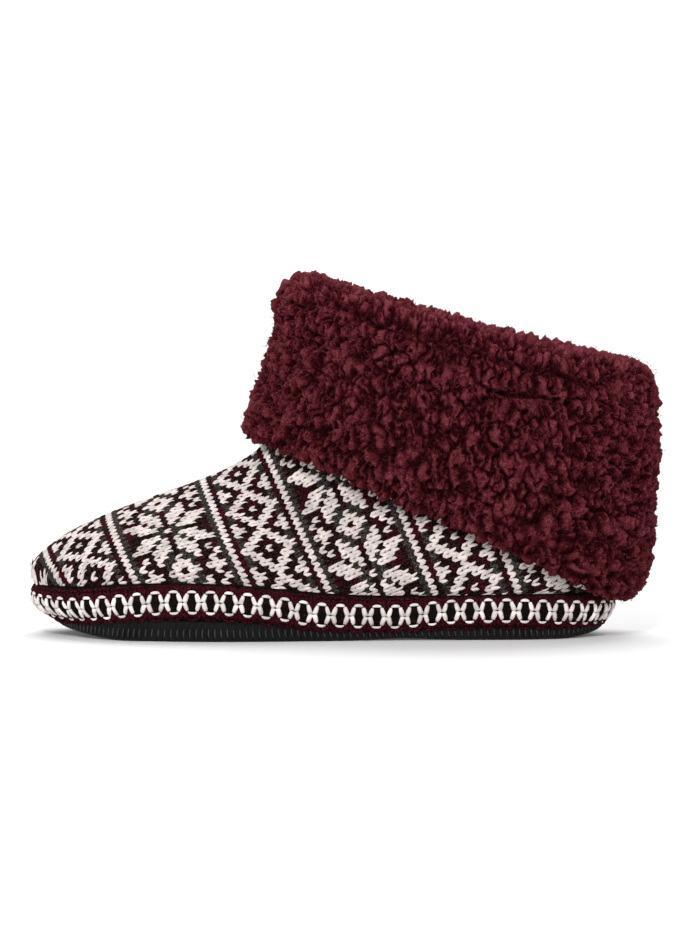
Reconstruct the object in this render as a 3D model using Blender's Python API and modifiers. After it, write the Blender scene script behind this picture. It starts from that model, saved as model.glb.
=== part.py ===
"""Bootie slipper: knit upper, turned-down fleece cuff, tape-wrapped platform, ribbed rubber outsole.

A left shoe in metres. +X runs from toe to heel, -Y is its outer side and +Z is up. The origin is on
the sole plane, half way along the platform. Every piece is a loft of closed loops. A loop starts at
the toe, runs along the outer side to the heel and comes back along the inner side.
"""

import math
from collections import namedtuple

import bmesh
import bpy
import numpy as np

# Lengths and widths of the platform
PLATFORM_LENGTH = 0.2532
BALL_WIDTH = 0.096
HEEL_WIDTH = 0.073
TOE_ROUND = 0.048
HEEL_ROUND = 0.046
TOE_SWING = 0.008
SHAFT_WIDTH = 0.066

# Heights above the floor
PLATFORM_HEIGHT = 0.0212
OUTSOLE_HEIGHT = 0.0065
COLLAR_FRONT_HEIGHT = 0.143
COLLAR_BACK_HEIGHT = 0.1055
COLLAR_SAG = 0.002

# Under the sole
UNDERCUT = 0.004
TOE_SPRING = 0.0046
TOE_SPRING_LENGTH = 0.030
HEEL_LIFT = 0.0034
HEEL_LIFT_LENGTH = 0.021
ARCH_RISE = 0.0008
ARCH_START = 0.010
ARCH_LENGTH = 0.050
SOLE_EDGE = 0.0012

# Ribs on the side of the outsole
RIB_PITCH = 0.0028
RIB_DEPTH = 0.0006
RIB_SHARE = 0.45
OUTSOLE_STEP = 0.0005

# Walls, layers and clearances
GAP = 0.0003
SOFT_GAP = 0.0006
TAPE_THICKNESS = 0.0022
SEAM_TUCK = 0.0016
WALL = 0.003
INSOLE_THICKNESS = 0.0055
INSOLE_CROWN = 0.0012
FLAP_THICKNESS = 0.0105
ROLL_RADIUS = 0.0112
ROLL_RISE = 0.0012
INNER_FLAP_DEPTH = 0.22

# Loops and their columns
LOOP_COLUMNS = 60
INSTEP_TURN = 0.53

# Plan of the platform: shares of its length, then of the ball and heel widths and the toe's swing
PlanRow = namedtuple("PlanRow", "along ball heel swing")
PLAN = [
    PlanRow(0.00, 0.86, 0.00, 1.00),
    PlanRow(0.10, 0.94, 0.00, 0.70),
    PlanRow(0.20, 0.98, 0.00, 0.32),
    PlanRow(0.31, 1.00, 0.00, 0.00),
    PlanRow(0.44, 0.80, 0.17, -0.14),
    PlanRow(0.56, 0.45, 0.50, -0.18),
    PlanRow(0.68, 0.15, 0.82, -0.10),
    PlanRow(0.80, 0.00, 1.00, 0.00),
    PlanRow(1.00, 0.00, 0.98, 0.00),
]

# Side of the platform: shares of the platform height, outsole height and undercut
SideRow = namedtuple("SideRow", "along seam rubber tuck")
SIDE = [
    SideRow(0.00, 1.00, 1.06, 2.75),
    SideRow(0.08, 1.05, 1.17, 1.90),
    SideRow(0.16, 1.13, 1.46, 1.25),
    SideRow(0.26, 1.17, 1.38, 1.05),
    SideRow(0.37, 1.12, 1.25, 1.00),
    SideRow(0.45, 1.02, 1.02, 1.00),
    SideRow(0.55, 0.92, 0.78, 1.00),
    SideRow(0.68, 0.89, 0.81, 1.00),
    SideRow(0.86, 0.91, 0.85, 1.05),
    SideRow(1.00, 0.89, 0.98, 1.20),
]

# Bulge of the tape band from its lower edge up: shares of the tucks at its lower and upper edge
BandRow = namedtuple("BandRow", "rise lower upper")
BAND = [
    BandRow(0.00, 1.00, 0.00),
    BandRow(0.20, 0.50, 0.00),
    BandRow(0.42, 0.14, 0.00),
    BandRow(0.74, 0.00, 0.12),
    BandRow(1.00, 0.00, 1.00),
]

# Form of the boot from the seam at 0 up to the collar at 1. The front and back are shares of the
# platform length, measured from its middle. The rounding of the front and the pull of the sides
# are shares of the ball width, and the last column blends the platform's plan into the shaft's.
FormRow = namedtuple("FormRow", "rise front back rounding pull shaft")
FORM = [
    FormRow(0.000, -0.4910, 0.4900, 0.50, 0.024, 0.00),
    FormRow(0.036, -0.5000, 0.4984, 0.55, 0.004, 0.00),
    FormRow(0.070, -0.4915, 0.5024, 0.70, -0.002, 0.00),
    FormRow(0.105, -0.4690, 0.5056, 0.90, -0.002, 0.00),
    FormRow(0.150, -0.4290, 0.5090, 1.18, 0.002, 0.00),
    FormRow(0.200, -0.3650, 0.5126, 1.52, 0.008, 0.02),
    FormRow(0.273, -0.2660, 0.5158, 1.82, 0.018, 0.10),
    FormRow(0.361, -0.1710, 0.5182, 1.82, 0.028, 0.30),
    FormRow(0.425, -0.1250, 0.5200, 1.46, 0.035, 0.50),
    FormRow(0.483, -0.0985, 0.5220, 1.10, 0.040, 0.68),
    FormRow(0.584, -0.0770, 0.5252, 0.78, 0.046, 0.88),
    FormRow(0.714, -0.0575, 0.5290, 0.65, 0.050, 1.00),
    FormRow(0.844, -0.0435, 0.5282, 0.60, 0.050, 1.00),
    FormRow(1.000, -0.0300, 0.5200, 0.58, 0.050, 1.00),
]

# Hem of the turned-down flap: how far it hangs from the collar's front to its back
HemRow = namedtuple("HemRow", "along rise")
HEM = [
    HemRow(0.00, 0.530),
    HemRow(0.10, 0.508),
    HemRow(0.22, 0.484),
    HemRow(0.37, 0.430),
    HemRow(0.50, 0.372),
    HemRow(0.67, 0.286),
    HemRow(0.78, 0.226),
    HemRow(0.89, 0.146),
    HemRow(0.96, 0.070),
    HemRow(1.00, 0.040),
]

# Outer face of the flap from hem to collar: share of the flap's thickness
FlapRow = namedtuple("FlapRow", "up thickness")
FLAP = [
    FlapRow(0.00, 1.02),
    FlapRow(0.20, 1.06),
    FlapRow(0.45, 1.00),
    FlapRow(0.70, 0.96),
    FlapRow(0.90, 0.93),
    FlapRow(1.00, 1.02),
]

# Colours, roughness and metallic value of each material
Finish = namedtuple("Finish", "colour roughness metallic")
RUBBER = Finish((0.013, 0.011, 0.011, 1.0), 0.62, 0.0)
FOAM = Finish((0.30, 0.27, 0.26, 1.0), 0.9, 0.0)
TAPE = Finish((0.03, 0.022, 0.024, 1.0), 0.95, 0.0)
KNIT = Finish((0.24, 0.19, 0.19, 1.0), 0.95, 0.0)
FLEECE = Finish((0.085, 0.014, 0.02, 1.0), 1.0, 0.0)


def smooth(rows, column, at):
    """Reads a column of a table on a smooth curve through its rows, which the first column places."""
    knots = np.array([row[0] for row in rows])
    values = np.array([getattr(row, column) for row in rows])
    slopes = np.gradient(values, knots)
    at = np.clip(at, knots[0], knots[-1])
    i = np.clip(np.searchsorted(knots, at, side="right") - 1, 0, len(knots) - 2)
    width = knots[i + 1] - knots[i]
    t = (at - knots[i]) / width
    ends = (1 + 2 * t) * (1 - t) ** 2 * values[i] + t * t * (3 - 2 * t) * values[i + 1]
    bends = t * (1 - t) ** 2 * slopes[i] - t * t * (1 - t) * slopes[i + 1]
    return ends + width * bends


def round_end(share):
    """Quarter circle from 0 at the tip to 1 where the end's rounding stops."""
    share = np.clip(share, 0.0, 1.0)
    return np.sqrt(share * (2.0 - share))


def along(x):
    """Share of the platform length at x, from its toe."""
    return x / PLATFORM_LENGTH + 0.5


def plan_loop(angle, front, back, rounding, pull, shaft):
    """Loop in plan between a front and a back, at angles that start at the toe tip."""
    x = front + (back - front) * (1.0 - np.cos(angle)) / 2.0
    share = along(x)
    half = BALL_WIDTH / 2 * smooth(PLAN, "ball", share) + HEEL_WIDTH / 2 * smooth(PLAN, "heel", share)
    half = (1.0 - shaft) * (half - pull) + shaft * SHAFT_WIDTH / 2
    half = half * round_end((x - front) / rounding) * round_end((back - x) / HEEL_ROUND)
    y = TOE_SWING * smooth(PLAN, "swing", share) - np.sign(np.sin(angle)) * half
    return x, y


def platform_loop(angle):
    """Widest outline of the platform, in plan."""
    reach = PLATFORM_LENGTH / 2
    x, y = plan_loop(angle, -reach, reach, TOE_ROUND, 0.0, 0.0)
    return np.stack([x, y], axis=-1)


def inset(loop, distance):
    """Moves a closed plan loop inwards along its own normals."""
    step = np.roll(loop, -1, axis=0) - np.roll(loop, 1, axis=0)
    normal = np.stack([step[:, 1], -step[:, 0]], axis=-1)
    normal /= np.linalg.norm(normal, axis=1, keepdims=True)
    return loop - normal * np.broadcast_to(distance, len(loop))[:, None]


def seam_height(x):
    """Height of the seam between the tape band and the knit."""
    return PLATFORM_HEIGHT * smooth(SIDE, "seam", along(x))


def rubber_height(x):
    """Height of the outsole's upper edge."""
    return OUTSOLE_HEIGHT * smooth(SIDE, "rubber", along(x))


def undercut(x):
    """How far the tape band's lower edge lies inside the platform's widest outline."""
    return UNDERCUT * smooth(SIDE, "tuck", along(x))


def collar_height(x):
    """Height of the collar's edge: a plane that falls to the back, with a slight sag."""
    front = FORM[-1].front * PLATFORM_LENGTH
    back = FORM[-1].back * PLATFORM_LENGTH
    share = (x - front) / (back - front)
    sag = COLLAR_SAG * np.sin(math.pi * np.clip(share, 0.0, 1.0))
    return COLLAR_FRONT_HEIGHT + (COLLAR_BACK_HEIGHT - COLLAR_FRONT_HEIGHT) * share - sag


def floor_clearance(x, toe_tip, heel_tip):
    """Height of the sole's underside: toe spring, flat forefoot, low arch, flat heel, rounded back."""
    toe = np.clip(1.0 - (x - toe_tip) / TOE_SPRING_LENGTH, 0.0, 1.0)
    heel = np.clip(1.0 - (heel_tip - x) / HEEL_LIFT_LENGTH, 0.0, 1.0)
    arch = np.clip((x - ARCH_START) / ARCH_LENGTH, 0.0, 1.0)
    return TOE_SPRING * toe**1.5 + HEEL_LIFT * heel**2 + ARCH_RISE * np.sin(math.pi * arch) ** 2


def form_point(angle, rise):
    """Point of the boot's outer form: an angle round the loop, and a rise from seam to collar."""
    angle, rise = np.broadcast_arrays(angle, rise)
    x, y = plan_loop(
        angle,
        PLATFORM_LENGTH * smooth(FORM, "front", rise),
        PLATFORM_LENGTH * smooth(FORM, "back", rise),
        BALL_WIDTH * smooth(FORM, "rounding", rise),
        BALL_WIDTH * smooth(FORM, "pull", rise),
        smooth(FORM, "shaft", rise),
    )
    z = (1.0 - rise) * (seam_height(x) + GAP) + rise * collar_height(x)
    return np.stack([x, y, z], axis=-1)


def unit(vectors):
    """Vectors of length one."""
    return vectors / np.linalg.norm(vectors, axis=-1, keepdims=True)


def form_frame(angle, rise):
    """Closed curve on the form, with the outward normal and the way up, square to the curve."""
    step = 0.002
    angle, rise = np.broadcast_arrays(angle, rise)
    round_way = form_point(angle + step, rise) - form_point(angle - step, rise)
    up_way = form_point(angle, np.minimum(rise + step, 1.0)) - form_point(angle, np.maximum(rise - step, 0.0))
    curve = form_point(angle, rise)
    normal = unit(np.cross(round_way, up_way))
    ahead = np.roll(curve, -1, axis=0) - np.roll(curve, 1, axis=0)
    return curve, normal, unit(np.cross(normal, ahead))


def lifted(loop, height):
    """Plan loop raised to a height, which may follow x."""
    return np.column_stack([loop, np.broadcast_to(height, len(loop))])


def even_angles(count, distance):
    """Angles that split each side of the inset platform outline into equal lengths."""
    fine = np.linspace(0.0, 2 * math.pi, 4000, endpoint=False)
    edge = inset(platform_loop(fine), distance)
    steps = np.linalg.norm(np.roll(edge, -1, axis=0) - edge, axis=1)
    length = np.concatenate([[0.0], np.cumsum(steps)])
    heel = len(fine) // 2
    half = count // 2
    outer = np.linspace(0.0, length[heel], half, endpoint=False)
    inner = np.linspace(length[heel], length[-1], half, endpoint=False)
    return np.interp(np.concatenate([outer, inner]), length, np.append(fine, 2 * math.pi))


def material(name, finish):
    """Principled material of one finish."""
    made = bpy.data.materials.new(name)
    made.use_nodes = True
    shader = made.node_tree.nodes["Principled BSDF"]
    shader.inputs["Base Color"].default_value = finish.colour
    shader.inputs["Roughness"].default_value = finish.roughness
    shader.inputs["Metallic"].default_value = finish.metallic
    made.diffuse_color = finish.colour
    return made


def loft(name, loops, finish, collection, ring=False, capped=True):
    """Object lofted through loops of as many points, either capped across or closed into a ring."""
    loops = np.asarray(loops)
    rows, columns = loops.shape[:2]
    corner = np.arange(rows * columns).reshape(rows, columns)
    upper = np.roll(corner, -1, axis=0) if ring else corner[1:]
    lower = corner if ring else corner[:-1]
    quads = np.stack([lower, np.roll(lower, -1, axis=1), np.roll(upper, -1, axis=1), upper], axis=-1)
    faces = quads.reshape(-1, 4).tolist()
    if capped and not ring:
        for row in (corner[0], corner[-1]):
            across = range(1, columns // 2 - 1)
            faces.append([row[0], row[1], row[-1]])
            faces += [[row[i], row[i + 1], row[-i - 1], row[-i]] for i in across]
            faces.append([row[columns // 2 - 1], row[columns // 2], row[columns // 2 + 1]])
    mesh = bpy.data.meshes.new(name)
    mesh.from_pydata(loops.reshape(-1, 3).tolist(), [], faces)
    work = bmesh.new()
    work.from_mesh(mesh)
    bmesh.ops.recalc_face_normals(work, faces=work.faces[:])
    work.to_mesh(mesh)
    work.free()
    mesh.shade_smooth()
    mesh.materials.append(material(name, finish))
    piece = bpy.data.objects.new(name, mesh)
    collection.objects.link(piece)
    return piece


def band_loops(angles, depth):
    """Loops of the tape band's bulge from its lower edge up, set inwards by a depth."""
    loop = platform_loop(angles)
    loops = []
    for row in BAND:
        ring = inset(loop, row.lower * undercut(loop[:, 0]) + row.upper * SEAM_TUCK + depth)
        low, high = rubber_height(ring[:, 0]) + GAP, seam_height(ring[:, 0])
        loops.append(lifted(ring, low + row.rise * (high - low)))
    return loops


def add_outsole(collection):
    """Rubber cup sole: smooth upper strip, step, ribbed side, and an underside with toe spring."""
    widest = np.linspace(0.0, 2 * math.pi, 720, endpoint=False)
    outline = platform_loop(widest)
    edge = inset(outline, undercut(outline[:, 0]))
    perimeter = np.linalg.norm(np.roll(edge, -1, axis=0) - edge, axis=1).sum()
    count = 2 * round(perimeter / RIB_PITCH)
    loop = platform_loop(even_angles(count, UNDERCUT))
    tuck = undercut(loop[:, 0]) + OUTSOLE_STEP
    tips = inset(loop, tuck)[:, 0]
    crest = RIB_DEPTH * (np.arange(count) % 2)

    def row(distance, share, lift):
        ring = inset(loop, distance)
        under = floor_clearance(ring[:, 0], tips.min(), tips.max())
        height = rubber_height(ring[:, 0]) - under
        return lifted(ring, under + share * height + lift)

    top_edge = inset(loop, tuck)
    rows = [
        row(tuck + SOLE_EDGE, 0.0, 0.0),
        row(tuck + crest, 0.0, SOLE_EDGE / 2),
        row(tuck + crest, RIB_SHARE, 0.0),
        lifted(top_edge, rubber_height(top_edge[:, 0])),
    ]
    return loft("outsole", rows, RUBBER, collection)


def add_tape_band(collection, angles):
    """Knit tape wrapped round the side of the platform, as a ring of even thickness."""
    outer = band_loops(angles, 0.0)
    inner = band_loops(angles, TAPE_THICKNESS)
    return loft("tape_band", outer + inner[::-1], TAPE, collection, ring=True)


def add_midsole(collection, angles):
    """Foam platform inside the tape band."""
    return loft("midsole", band_loops(angles, TAPE_THICKNESS + GAP), FOAM, collection)


def add_insole(collection, angles):
    """Footbed on the midsole, inside the upper, with a soft rounded edge."""
    start = form_point(angles, 0.0)
    plan = inset(start[:, :2], WALL + SOFT_GAP)
    rows = []
    for share, edge in ((0.0, 0.0), (0.7, 0.0), (1.0, INSOLE_CROWN)):
        ring = inset(plan, edge)
        rows.append(lifted(ring, seam_height(ring[:, 0]) + GAP + share * INSOLE_THICKNESS))
    return loft("insole", rows, FLEECE, collection)


def add_upper(collection, angles):
    """Knit boot: one open surface from seam to collar, given its wall inwards."""
    rises = sorted([row.rise for row in FORM] + [INSTEP_TURN])
    loops = [form_point(angles, rise) for rise in rises]
    piece = loft("upper", loops, KNIT, collection, capped=False)
    wall = piece.modifiers.new("Wall", "SOLIDIFY")
    wall.thickness = WALL
    wall.offset = -1.0
    wall.use_even_offset = True
    return piece


def add_cuff(collection, angles):
    """Fleece turned down over the shaft: outer flap, rolled top and a short leg inside the collar."""
    share = (1.0 - np.cos(angles)) / 2.0
    hem = smooth(HEM, "rise", share)
    rows = []

    def along_form(rise, out, drop=0.0):
        point, normal, up = form_frame(angles, rise)
        return point + normal * out - up * drop

    for row in FLAP:
        out = SOFT_GAP + row.thickness * FLAP_THICKNESS
        rows.append(along_form(hem + (1.0 - hem) * row.up, out))
    top, normal, up = form_frame(angles, 1.0)
    inner = WALL + SOFT_GAP + FLAP_THICKNESS * 0.75
    middle = (SOFT_GAP + FLAP_THICKNESS - inner) / 2
    for turn in np.radians([25.0, 60.0, 95.0, 130.0, 160.0]):
        reach = (inner + SOFT_GAP + FLAP_THICKNESS) / 2 * math.cos(turn)
        rows.append(top + normal * (middle + reach) + up * (ROLL_RISE + ROLL_RADIUS * math.sin(turn)))
    rows.append(along_form(1.0, -inner))
    rows.append(along_form(1.0 - INNER_FLAP_DEPTH, -inner))
    rows.append(along_form(1.0 - INNER_FLAP_DEPTH, -(inner + WALL) / 2, FLAP_THICKNESS / 3))
    rows.append(along_form(1.0 - INNER_FLAP_DEPTH, -WALL - SOFT_GAP))
    rows.append(top - normal * (WALL + SOFT_GAP) + up * SOFT_GAP)
    rows.append(top + normal * SOFT_GAP + up * SOFT_GAP)
    for share_up in (0.8, 0.55, 0.3, 0.12, 0.0):
        rows.append(along_form(hem + (1.0 - hem) * share_up, SOFT_GAP))
    rows.append(along_form(hem, SOFT_GAP + 0.25 * FLAP_THICKNESS, 0.40 * FLAP_THICKNESS))
    rows.append(along_form(hem, SOFT_GAP + 0.75 * FLAP_THICKNESS, 0.42 * FLAP_THICKNESS))
    return loft("cuff", rows, FLEECE, collection, ring=True)


def main():
    for old in list(bpy.data.objects):
        bpy.data.objects.remove(old, do_unlink=True)
    collection = bpy.data.collections.new("bootie_slipper")
    bpy.context.scene.collection.children.link(collection)
    angles = np.linspace(0.0, 2 * math.pi, LOOP_COLUMNS, endpoint=False)
    add_outsole(collection)
    add_midsole(collection, angles)
    add_tape_band(collection, angles)
    add_insole(collection, angles)
    add_upper(collection, angles)
    add_cuff(collection, angles)


main()
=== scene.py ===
"""Looks of the bootie slipper: stranded knit, chain tape, curly fleece cuff and rubber sole.

Every piece is worked out from the slipper's own form, which the class Last describes: a loop of
angles from the toe round the outer side to the heel and back, and a rise from seam to collar.
"""

import logging
import math
from dataclasses import dataclass, field
from enum import Enum

import bpy
import numpy as np
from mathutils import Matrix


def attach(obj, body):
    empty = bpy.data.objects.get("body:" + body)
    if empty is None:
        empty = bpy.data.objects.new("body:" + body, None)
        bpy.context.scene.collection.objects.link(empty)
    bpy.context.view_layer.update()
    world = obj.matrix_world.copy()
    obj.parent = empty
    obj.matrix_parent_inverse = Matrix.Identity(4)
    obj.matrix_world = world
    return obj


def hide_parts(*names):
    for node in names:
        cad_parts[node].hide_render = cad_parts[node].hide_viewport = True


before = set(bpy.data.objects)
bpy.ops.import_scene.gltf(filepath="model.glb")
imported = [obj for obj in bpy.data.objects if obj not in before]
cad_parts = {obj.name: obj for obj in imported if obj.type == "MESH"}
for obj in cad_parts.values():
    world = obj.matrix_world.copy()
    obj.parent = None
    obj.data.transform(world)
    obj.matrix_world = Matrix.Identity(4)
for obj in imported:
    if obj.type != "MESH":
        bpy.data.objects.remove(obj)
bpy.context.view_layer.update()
LOG = logging.getLogger("slipper")

MM = 0.001
TAU = 2.0 * math.pi
WORD = 2.0**32
SLOPE_GAIN = 1.9
Array = np.ndarray


def table(**columns: tuple) -> dict[str, tuple]:
    """Dataclass field that holds a table of columns by name."""
    return field(default_factory=lambda: dict(columns))


def smooth(rows: dict[str, tuple], column: str, at: Array) -> Array:
    """Reads a table's column on a smooth curve through its rows, placed by its first column.

    Args:
        rows: columns of equal length by name; the first one rises from row to row.
        column: the column to read.
        at: places along the first column.

    Returns:
        The column's value at each place.
    """
    knots = np.array(next(iter(rows.values())), float)
    values = np.array(rows[column], float)
    slopes = np.gradient(values, knots)
    at = np.clip(at, knots[0], knots[-1])
    i = np.clip(np.searchsorted(knots, at, side="right") - 1, 0, len(knots) - 2)
    width = knots[i + 1] - knots[i]
    t = (at - knots[i]) / width
    ends = (1 + 2 * t) * (1 - t) ** 2 * values[i] + t * t * (3 - 2 * t) * values[i + 1]
    bends = t * (1 - t) ** 2 * slopes[i] - t * t * (1 - t) * slopes[i + 1]
    return ends + width * bends


def round_end(share: Array) -> Array:
    """Quarter circle from 0 at a tip to 1 where the rounding stops."""
    share = np.clip(share, 0.0, 1.0)
    return np.sqrt(share * (2.0 - share))


def unit(vectors: Array) -> Array:
    """Vectors of length one."""
    return vectors / np.maximum(np.linalg.norm(vectors, axis=-1, keepdims=True), 1e-12)


def around(loops: Array, axis: int = 0) -> Array:
    """Steps from the place before to the place after each one, round closed loops."""
    return np.roll(loops, -1, axis=axis) - np.roll(loops, 1, axis=axis)


def level(vectors: Array) -> Array:
    """Level directions of length one over which the vectors lie."""
    return np.column_stack([unit(vectors[:, :2]), np.zeros(len(vectors))])


def inset(loop: Array, distance: Array | float) -> Array:
    """Moves a closed plan loop inwards along its own normals.

    Args:
        loop: places in plan.
        distance: how far, one number or one for each place.

    Returns:
        The moved loop.
    """
    step = around(loop)
    normal = unit(np.stack([step[:, 1], -step[:, 0]], axis=-1))
    return loop - normal * np.broadcast_to(distance, len(loop))[:, None]


def lattice_hash(x: Array, y: Array, z: Array, seed: int) -> Array:
    """Even random number from 0 to 1 for each whole-numbered lattice point.

    Args:
        x: whole numbers along the first axis.
        y: along the second.
        z: along the third.
        seed: picks the numbers.

    Returns:
        The random numbers.
    """
    mixed = (
        x.astype(np.int64).astype(np.uint32) * np.uint32(374761393)
        + y.astype(np.int64).astype(np.uint32) * np.uint32(668265263)
        + z.astype(np.int64).astype(np.uint32) * np.uint32(2246822519)
        + np.uint32(seed * 977 + 13)
    )
    mixed = (mixed ^ (mixed >> np.uint32(13))) * np.uint32(1274126177)
    mixed = (mixed ^ (mixed >> np.uint32(16))) * np.uint32(2654435761)
    return (mixed ^ (mixed >> np.uint32(15))).astype(np.float64) / WORD


def ease(low: float, high: float, values: Array) -> Array:
    """Soft step from 0 at the low value to 1 at the high one."""
    t = np.clip((values - low) / (high - low), 0.0, 1.0)
    return t * t * (3.0 - 2.0 * t)


def soft_noise(points: Array, size: float | tuple[float, float, float], seed: int) -> Array:
    """Smooth noise of about -1 to 1: random slopes at lattice points, blended over each cell.

    Args:
        points: places in metres.
        size: size of a cell in metres, one number or three.
        seed: picks the slopes.

    Returns:
        The noise at each place.
    """
    cell = points / np.broadcast_to(size, 3)
    base = np.floor(cell)
    inside = cell - base
    t = inside**3 * (inside * (inside * 6.0 - 15.0) + 10.0)
    total = np.zeros(len(points))
    for corner in np.ndindex(2, 2, 2):
        step = np.array(corner)
        weight = np.prod(np.where(step == 1, t, 1.0 - t), axis=1)
        x, y, z = (base + step).T
        slope = np.stack([lattice_hash(x, y, z, seed + k) for k in range(3)], axis=-1) * 2.0 - 1.0
        total += weight * ((inside - step) * slope).sum(axis=1)
    return total * SLOPE_GAIN


def drift(points: Array, size: float, seed: int) -> Array:
    """Three soft noises as a sideways move."""
    return np.stack([soft_noise(points, size, seed + 3 * k) for k in range(3)], axis=-1)


def clumps(points: Array, size: tuple[float, float, float], seed: int) -> tuple[Array, Array, Array]:
    """Cells round scattered centres, one for each lattice box of the given size.

    Args:
        points: places in metres.
        size: box of one clump in metres.
        seed: picks the scatter.

    Returns:
        Distance to the nearest centre, how much farther the second one is, and the clump's number.
    """
    cell = points / np.array(size)
    base = np.floor(cell)
    near = np.full(len(points), 9.0)
    second = np.full(len(points), 9.0)
    number = np.zeros(len(points))
    for step in np.ndindex(3, 3, 3):
        box = base + np.array(step) - 1
        x, y, z = box.T
        centre = box + np.stack([lattice_hash(x, y, z, seed + k) for k in range(3)], axis=-1)
        distance = np.linalg.norm(cell - centre, axis=1)
        closer = distance < near
        second = np.where(closer, near, np.minimum(second, distance))
        number = np.where(closer, lattice_hash(x, y, z, seed + 7), number)
        near = np.where(closer, distance, near)
    return near, second - near, number


def add_object(name: str, data: bpy.types.ID) -> bpy.types.Object:
    """Puts data into the scene as an object at the origin."""
    made = bpy.data.objects.new(name, data)
    bpy.context.scene.collection.objects.link(made)
    return made


def build_piece(name: str, points: Array, *faces: Array) -> bpy.types.Object:
    """Puts arrays of points and faces into a new smooth-shaded object at the origin.

    Args:
        name: the piece's name.
        points: places, n by 3.
        faces: arrays of faces, a row of corners for each; each array has its own row length.

    Returns:
        The object, linked to the scene.
    """
    mesh = bpy.data.meshes.new(name)
    mesh.vertices.add(len(points))
    mesh.vertices.foreach_set("co", np.asarray(points, np.float32).ravel())
    corners = np.concatenate([rows.ravel() for rows in faces]).astype(np.int32)
    sizes = np.concatenate([np.full(len(rows), rows.shape[1]) for rows in faces])
    mesh.loops.add(len(corners))
    mesh.loops.foreach_set("vertex_index", corners)
    mesh.polygons.add(len(sizes))
    mesh.polygons.foreach_set("loop_start", (np.cumsum(sizes) - sizes).astype(np.int32))
    mesh.update(calc_edges=True)
    mesh.validate()
    mesh.shade_smooth()
    return add_object(name, mesh)


def ring_piece(name: str, loops: Array) -> bpy.types.Object:
    """Closed surface through a ring of closed loops, rows by columns by 3.

    Args:
        name: the piece's name.
        loops: places of the loops.

    Returns:
        The piece.
    """
    rows, columns = loops.shape[:2]
    corner = np.arange(rows * columns).reshape(rows, columns)
    above = np.roll(corner, -1, axis=0)
    quads = np.stack([corner, np.roll(corner, -1, 1), np.roll(above, -1, 1), above], axis=-1)
    return build_piece(name, loops.reshape(-1, 3), quads.reshape(-1, 4))


def give_value(piece: bpy.types.Object, name: str, values: Array) -> None:
    """Keeps one number for each point of a piece, for its material to read."""
    layer = piece.data.attributes.new(name, "FLOAT", "POINT")
    layer.data.foreach_set("value", np.asarray(values, np.float32))


def finish_piece(piece: bpy.types.Object, finish: bpy.types.Material, node: str = "") -> None:
    """Gives a piece its finish and body, hides the solid that it stands for, and reports it.

    Args:
        piece: the piece.
        finish: its material.
        node: the solid that it stands for, if any.
    """
    piece.data.materials.append(finish)
    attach(piece, "root")
    if node:
        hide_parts(node)
    LOG.info("%s: %d faces", piece.name, len(piece.data.polygons))


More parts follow.
